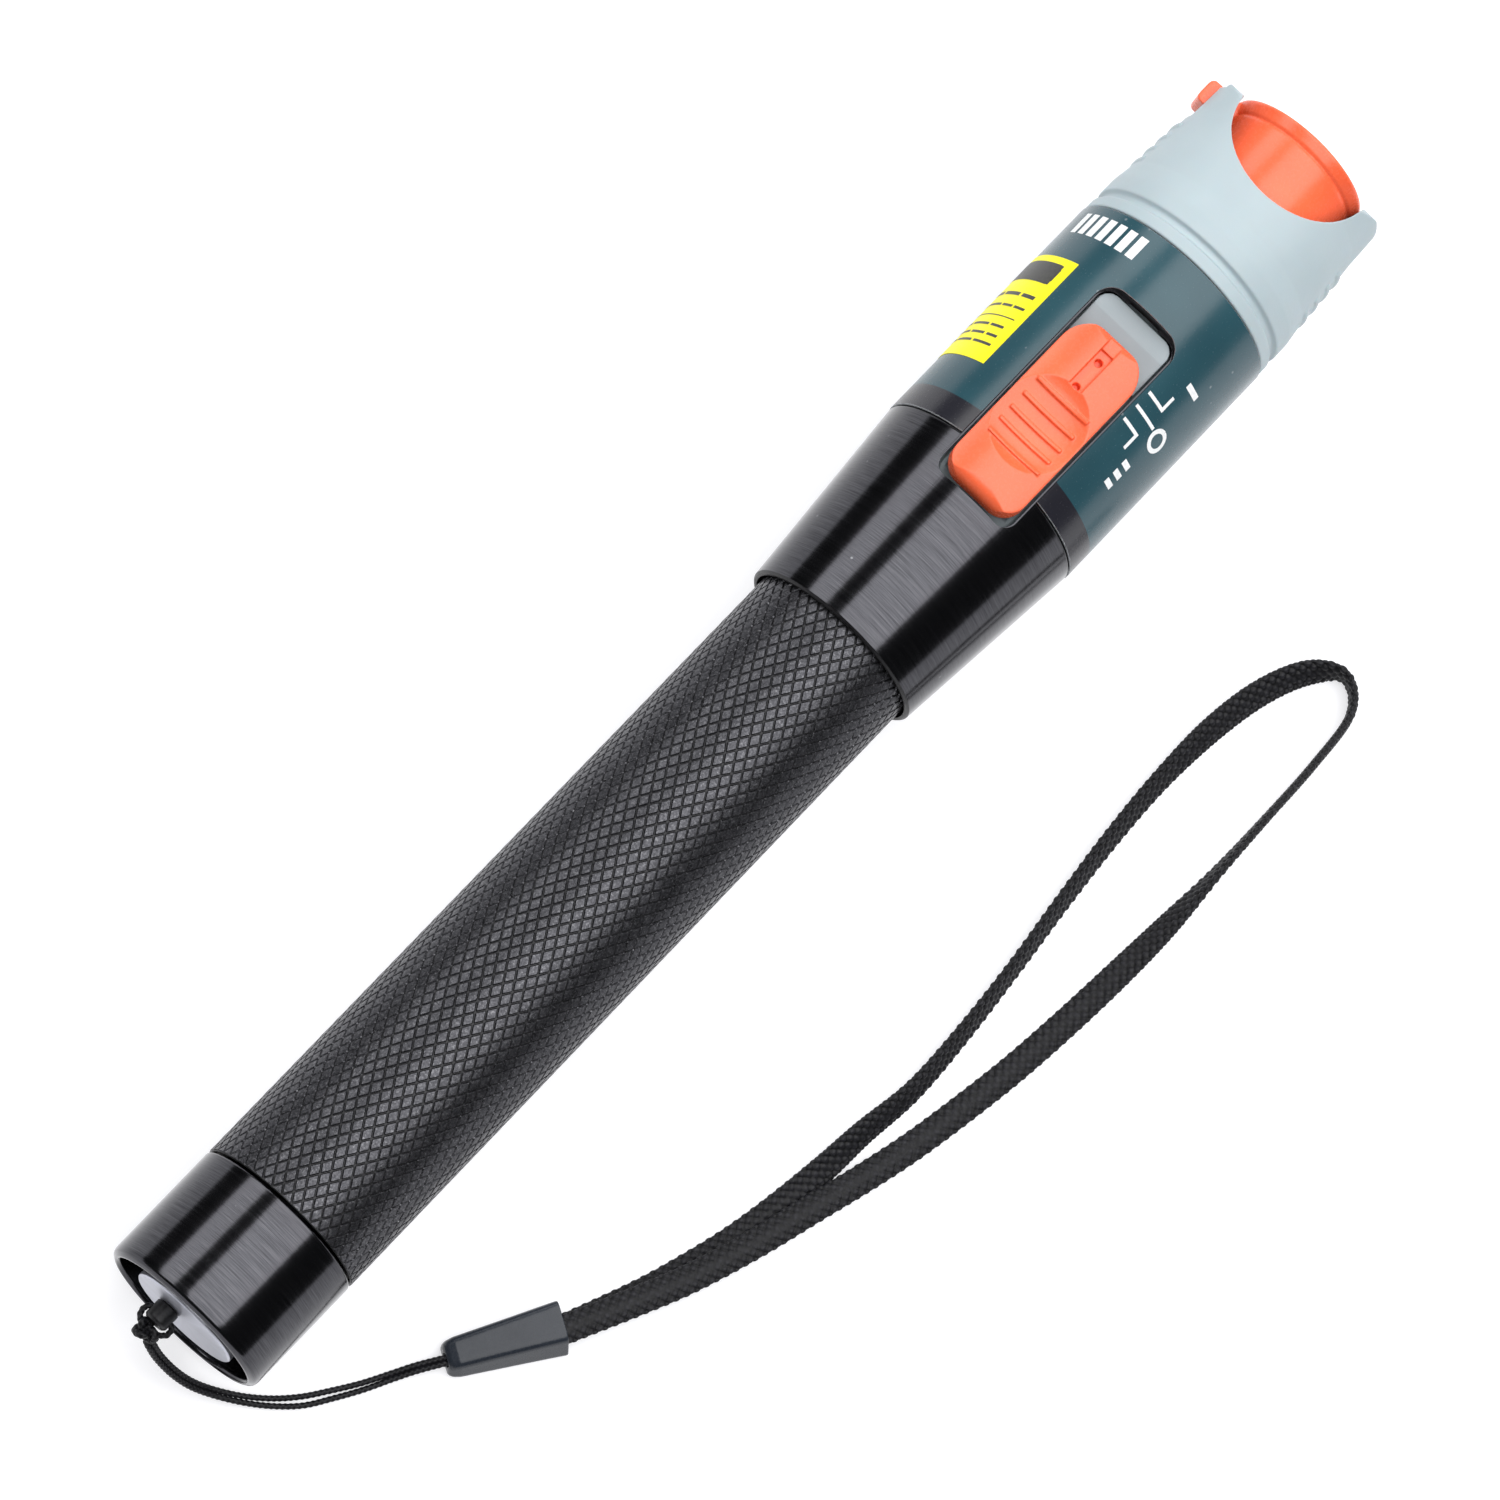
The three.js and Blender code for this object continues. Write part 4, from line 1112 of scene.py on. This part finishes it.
def make_button():
    rear, front, half, low, top = (BUTTON[k] for k in ("rear", "front", "half", "bottom", "top"))
    skirt = bar_mesh("skirt", rounded(rear, front, half, 2.6, 3.8), 2, low, top)
    crown_r = 14.0  # the top is slightly crowned across
    over = top + ABOVE
    dome = turned("dome", [
        (rear - 5, 0), (rear - 5, crown_r), (front + 5, crown_r), (front + 5, 0),
    ], closed=False)
    side = soften([(rear, 5), (rear, top + 0.02), (front, top + 0.02), (front, 5)], END_ROUND, steps=8)
    steps = [
        (KEEP_IN, shifted(dome, 0, top - crown_r)),
        (KEEP_IN, bar_mesh("ends", side, 1, -6, 6)),
        (CUT, scoop(top)),
        (CUT, block(34.9, 40.2, -SLOT_HALF, SLOT_HALF, top - 0.8, over)),
        (CUT, block(40, front + 1, -SLOT_HALF, SLOT_HALF, top - 0.35, over)),
    ]
    for x in RIBS:
        rib = block(x - 0.24, x + 0.24, -3.6, 3.6, low + 0.5, top - 0.1)
        steps.append((JOIN, combined(rib, (CUT, scoop(top + RIB_HIGH)))))
    for x in DOTS["stations"]:
        steps.append((CUT, rod("dot", x, 0, DOTS["r"], 2, top - DOTS["depth"], over)))
    steps.append((JOIN, block(28, 33.8, -1.7, 1.7, 6.6, low + 0.2)))
    steps.append((CUT, block(29.9, 31.1, -3, 3, 5, 8.8)))
    mesh = melted(combined(skirt, *steps), 0.075, rounds=10, keep=0.35)
    piece("button_cap", mesh, "button", "orange", ("slide_button",), sharp=60)


def scoop(top):
    """The bowl that hollows the button, as half_x by half_y where it meets a flat top."""
    deep = SCOOP["rise"] + SCOOP["depth"]
    stretch = 1 / math.sqrt(1 - (SCOOP["rise"] / deep) ** 2)
    rx, ry = SCOOP["half_x"] * stretch, SCOOP["half_y"] * stretch
    return ball(SCOOP["x"], top + SCOOP["rise"], rx, ry, deep)


def ball(x, z, rx, ry, rz, across=64, down=32):
    """An ellipsoid over the tool's axis."""
    points = []
    for i in range(down + 1):
        polar = math.pi * i / down
        level = circle(x, 0, rx * math.sin(polar), ry * math.sin(polar), across)
        points += [(a, b, z + rz * math.cos(polar)) for a, b in level]
    return skin("ball", points, across, capped=False)


# The tray under the button: its gap to the window, the height of its floor and of the ledge
# that the button's skirt slides over, the dish's radius in height, and its screw posts.
BED = {"gap": 0.25, "floor": 9.75, "sink": 9.2, "dish": 14.4, "posts": (21.4, 44.4)}


def make_bed():
    gap, sink = BED["gap"], BED["sink"]
    rear, front, half = WINDOW["rear"] + gap, WINDOW["front"] - gap, WINDOW["half"] - gap
    tray = bar_mesh("tray", rounded(rear, front, half, 1.6, 1.6), 2, 8.2, 11.35)
    dish_x = (rear + front) / 2 + 1.4
    dish = circle(dish_x, BED["floor"] + BED["dish"], 22, BED["dish"], ARC_ROUND)
    steps = [
        (JOIN, block(17.4, 48.4, -6.5, 6.5, 7.6, 8.8)),
        (CUT, bar_mesh("dish", dish, 1, -6, 6)),
        (CUT, block(27.2, 38.4, -2.2, 2.2, 5, 15)),
        (CUT, block(18, 40, 4.35, 6, sink, 12)),
        (CUT, block(18, 40, -6, -4.35, sink, 12)),
        (CUT, block(18, 20.6, -6, 6, sink, 12)),
    ]
    for x in BED["posts"]:
        steps.append((JOIN, rod("post", x, 0, 1.8, 2, 1, 8)))
        steps.append((CUT, rod("hole", x, 0, 1.05, 2, 0, 6)))
    mesh = melted(combined(tray, *steps), 0.14, rounds=4, keep=0.5)
    piece("switch_tray", mesh, "housing", "tray", ("switch_bed",), sharp=60)


# ---- port, crown and dust cap ---------------------------------------------------------
NOTCH = {"r": 8.8, "x": 74.76}
HINGE = {"x": 73.4, "y": 10.1, "hole": 0.66, "slot": 2.6}
KNUCKLE = {"centre": 73.8, "half": 1.5, "low": 8.15, "top": 12.7, "wide": 2.0}
TIP = 75.7  # the front end of the prongs
TIP_ROUND = {"x": 62.0, "r": 14.0}  # the prongs' tips are rounded as seen along Y


NUT = {"grips": 36, "low_r": 5.45, "r": 5.8, "rear": 63.7, "front": 65.7}
GRIP_RIBS = (62.6, 64.5, 66.4, 68.3)  # stations of the crown's side ribs


def make_port():
    port = turned("port", [
        (59.4, 1), (59.4, 7.2), (61.5, 7.2), (61.5, 4), *thread(66.3, 69.2, 4.0, 0.28, 0.7),
        (69.6, 3.7), (69.6, 1.3), (68.9, 1.3), (68.9, 1.8), (61.6, 1.8), (61.6, 1),
    ], SMALL_ROUND, 0.06)
    piece("port_body", port, "housing", "nickel", ("ferrule_port",))
    section = []
    for k in range(NUT["grips"]):
        for share, r in ((0.0, NUT["low_r"]), (0.3, NUT["r"]), (0.7, NUT["r"])):
            a = (k + share) * 2 * math.pi / NUT["grips"]
            section.append((r * math.cos(a), r * math.sin(a)))
    nut = loft("nut", [(x, section) for x in (NUT["rear"], NUT["front"])])
    bore = turned("bore", [(63, 0), (63, 4.15), (66.4, 4.15), (66.4, 0)], SMALL_ROUND, closed=False)
    nut = combined(nut, (CUT, bore))
    piece("port_nut_ring", nut, "housing", "nickel", ("port_nut",))


def make_crown():
    shell = turned("crown", [
        (50.6, 9.4), (50.6, 10.85), (54.72, 10.85), (54.72, 12.9), (56.2, 12.9), (56.4, 12.38),
        (57.1, 12.38), (57.4, 12.87), (59.5, 12.85), (62, 12.5), (67, 12.2), (71, 11.85), (75.2, 11.7),
        (TIP, 11.2),
        (TIP, 9), (63.4, 9), (63.4, 4.35), (61.8, 4.35), (61.8, 9.4),
    ], radius=0.12)
    steps = []
    for x in GRIP_RIBS:
        crest = 12.65 - 0.06 * (x - GRIP_RIBS[0])
        outline = [(x - 0.6, 11.4), (x - 0.3, crest), (x + 0.3, crest), (x + 0.6, 11.4)]
        band = turned("rib", outline, SMALL_ROUND, 0.14)
        steps.append((JOIN, combined(band, (KEEP_IN, block(60, 70, -14, 14, -3.5, 3.5)))))
    tip = combined(
        rod("tip", TIP_ROUND["x"], 0, TIP_ROUND["r"], 1, -14, 14, ARC_ROUND),
        (JOIN, block(40, TIP_ROUND["x"], -15, 15, -15, 15)),
    )
    ahead = 80  # past the tip
    steps += [
        (KEEP_IN, tip),
        (CUT, rod("notch", NOTCH["x"], 0, NOTCH["r"], 2, -20, 20, ARC_ROUND)),
        (CUT, block(NOTCH["x"], ahead, -NOTCH["r"], NOTCH["r"], -20, 20)),
        (CUT, block(HINGE["x"] - 3.2, ahead, 7.5, 14, -HINGE["slot"], HINGE["slot"])),
        (CUT, block(TIP - 0.9, ahead, 7.5, 14, -4.2, 4.2)),
        (CUT, rod("pin", HINGE["x"], HINGE["y"], HINGE["hole"], 2, -4.3, 4.3)),
    ]
    mesh = melted(combined(shell, *steps), 0.12, rounds=3, keep=0.35)
    piece("crown_shell", mesh, "housing", "grey", ("front_shroud",), sharp=60)


def make_flip_cap():
    crease, front, inner = 74.2, 75.9, 7.4
    shell = turned("cap", [
        (front, 0), (front, 8.75), (front - 0.3, 8.9), (crease + 0.25, 8.45), (crease, 8.1),
        (crease - 0.25, 8.3), (65.06, 8.25), (65.06, inner), (crease - 0.6, inner), (crease - 0.6, 0),
    ], radius=0.1, closed=False)
    reach = rod("reach", NOTCH["x"], 0, 9.7, 2, -10, 10, ARC_ROUND)
    knuckle = bar_mesh("knuckle", knuckle_outline(), 2, -KNUCKLE["wide"], KNUCKLE["wide"])
    pin = rod("pin", HINGE["x"], HINGE["y"], HINGE["hole"], 2, -5, 5)
    mesh = combined(shell, (KEEP_IN, reach), (JOIN, knuckle), (CUT, pin))
    mesh = melted(mesh, 0.12, rounds=4, keep=0.45)
    piece("dust_cap_shell", mesh, "dust_cap", "orange", ("flip_cap",), sharp=60)


def knuckle_outline():
    """The hinge knuckle seen along the pin, as (station, y)."""
    rear, front = KNUCKLE["centre"] - KNUCKLE["half"], KNUCKLE["centre"] + KNUCKLE["half"]
    low, high = KNUCKLE["low"], KNUCKLE["top"]
    return soften([(rear, low), (front, low), (front, high), (rear, high)], 0.8)


# ---- pieces that keep their CAD shape -------------------------------------------------
KEPT = {
    "contact_carrier": "insulator", "front_contact": "brass", "switch_body": "steel",
    "switch_lever": "insulator", "circuit_board": "board", "board_chip": "chip",
    "board_regulator": "chip", "board_capacitor": "steel", "board_screw_rear": "steel",
    "board_screw_front": "steel", "laser_diode": "nickel", "laser_housing": "brass",
    "laser_lens": "glass", "lens_ring": "brass", "split_sleeve": "ceramic", "hinge_pin": "steel",
}


def finish_kept_nodes():
    for node, material in KEPT.items():
        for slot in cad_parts[node].material_slots:
            slot.material = MATERIALS[material]


def main():
    for make in (
        make_materials, make_camera, make_clip, make_cords, make_knot, make_strap,
        make_light, make_floor, make_grip, make_tail, make_cells, make_barrel,
        make_label, make_print, make_panel, make_button, make_bed, make_port,
        make_crown, make_flip_cap, finish_kept_nodes,
    ):
        make()


main()
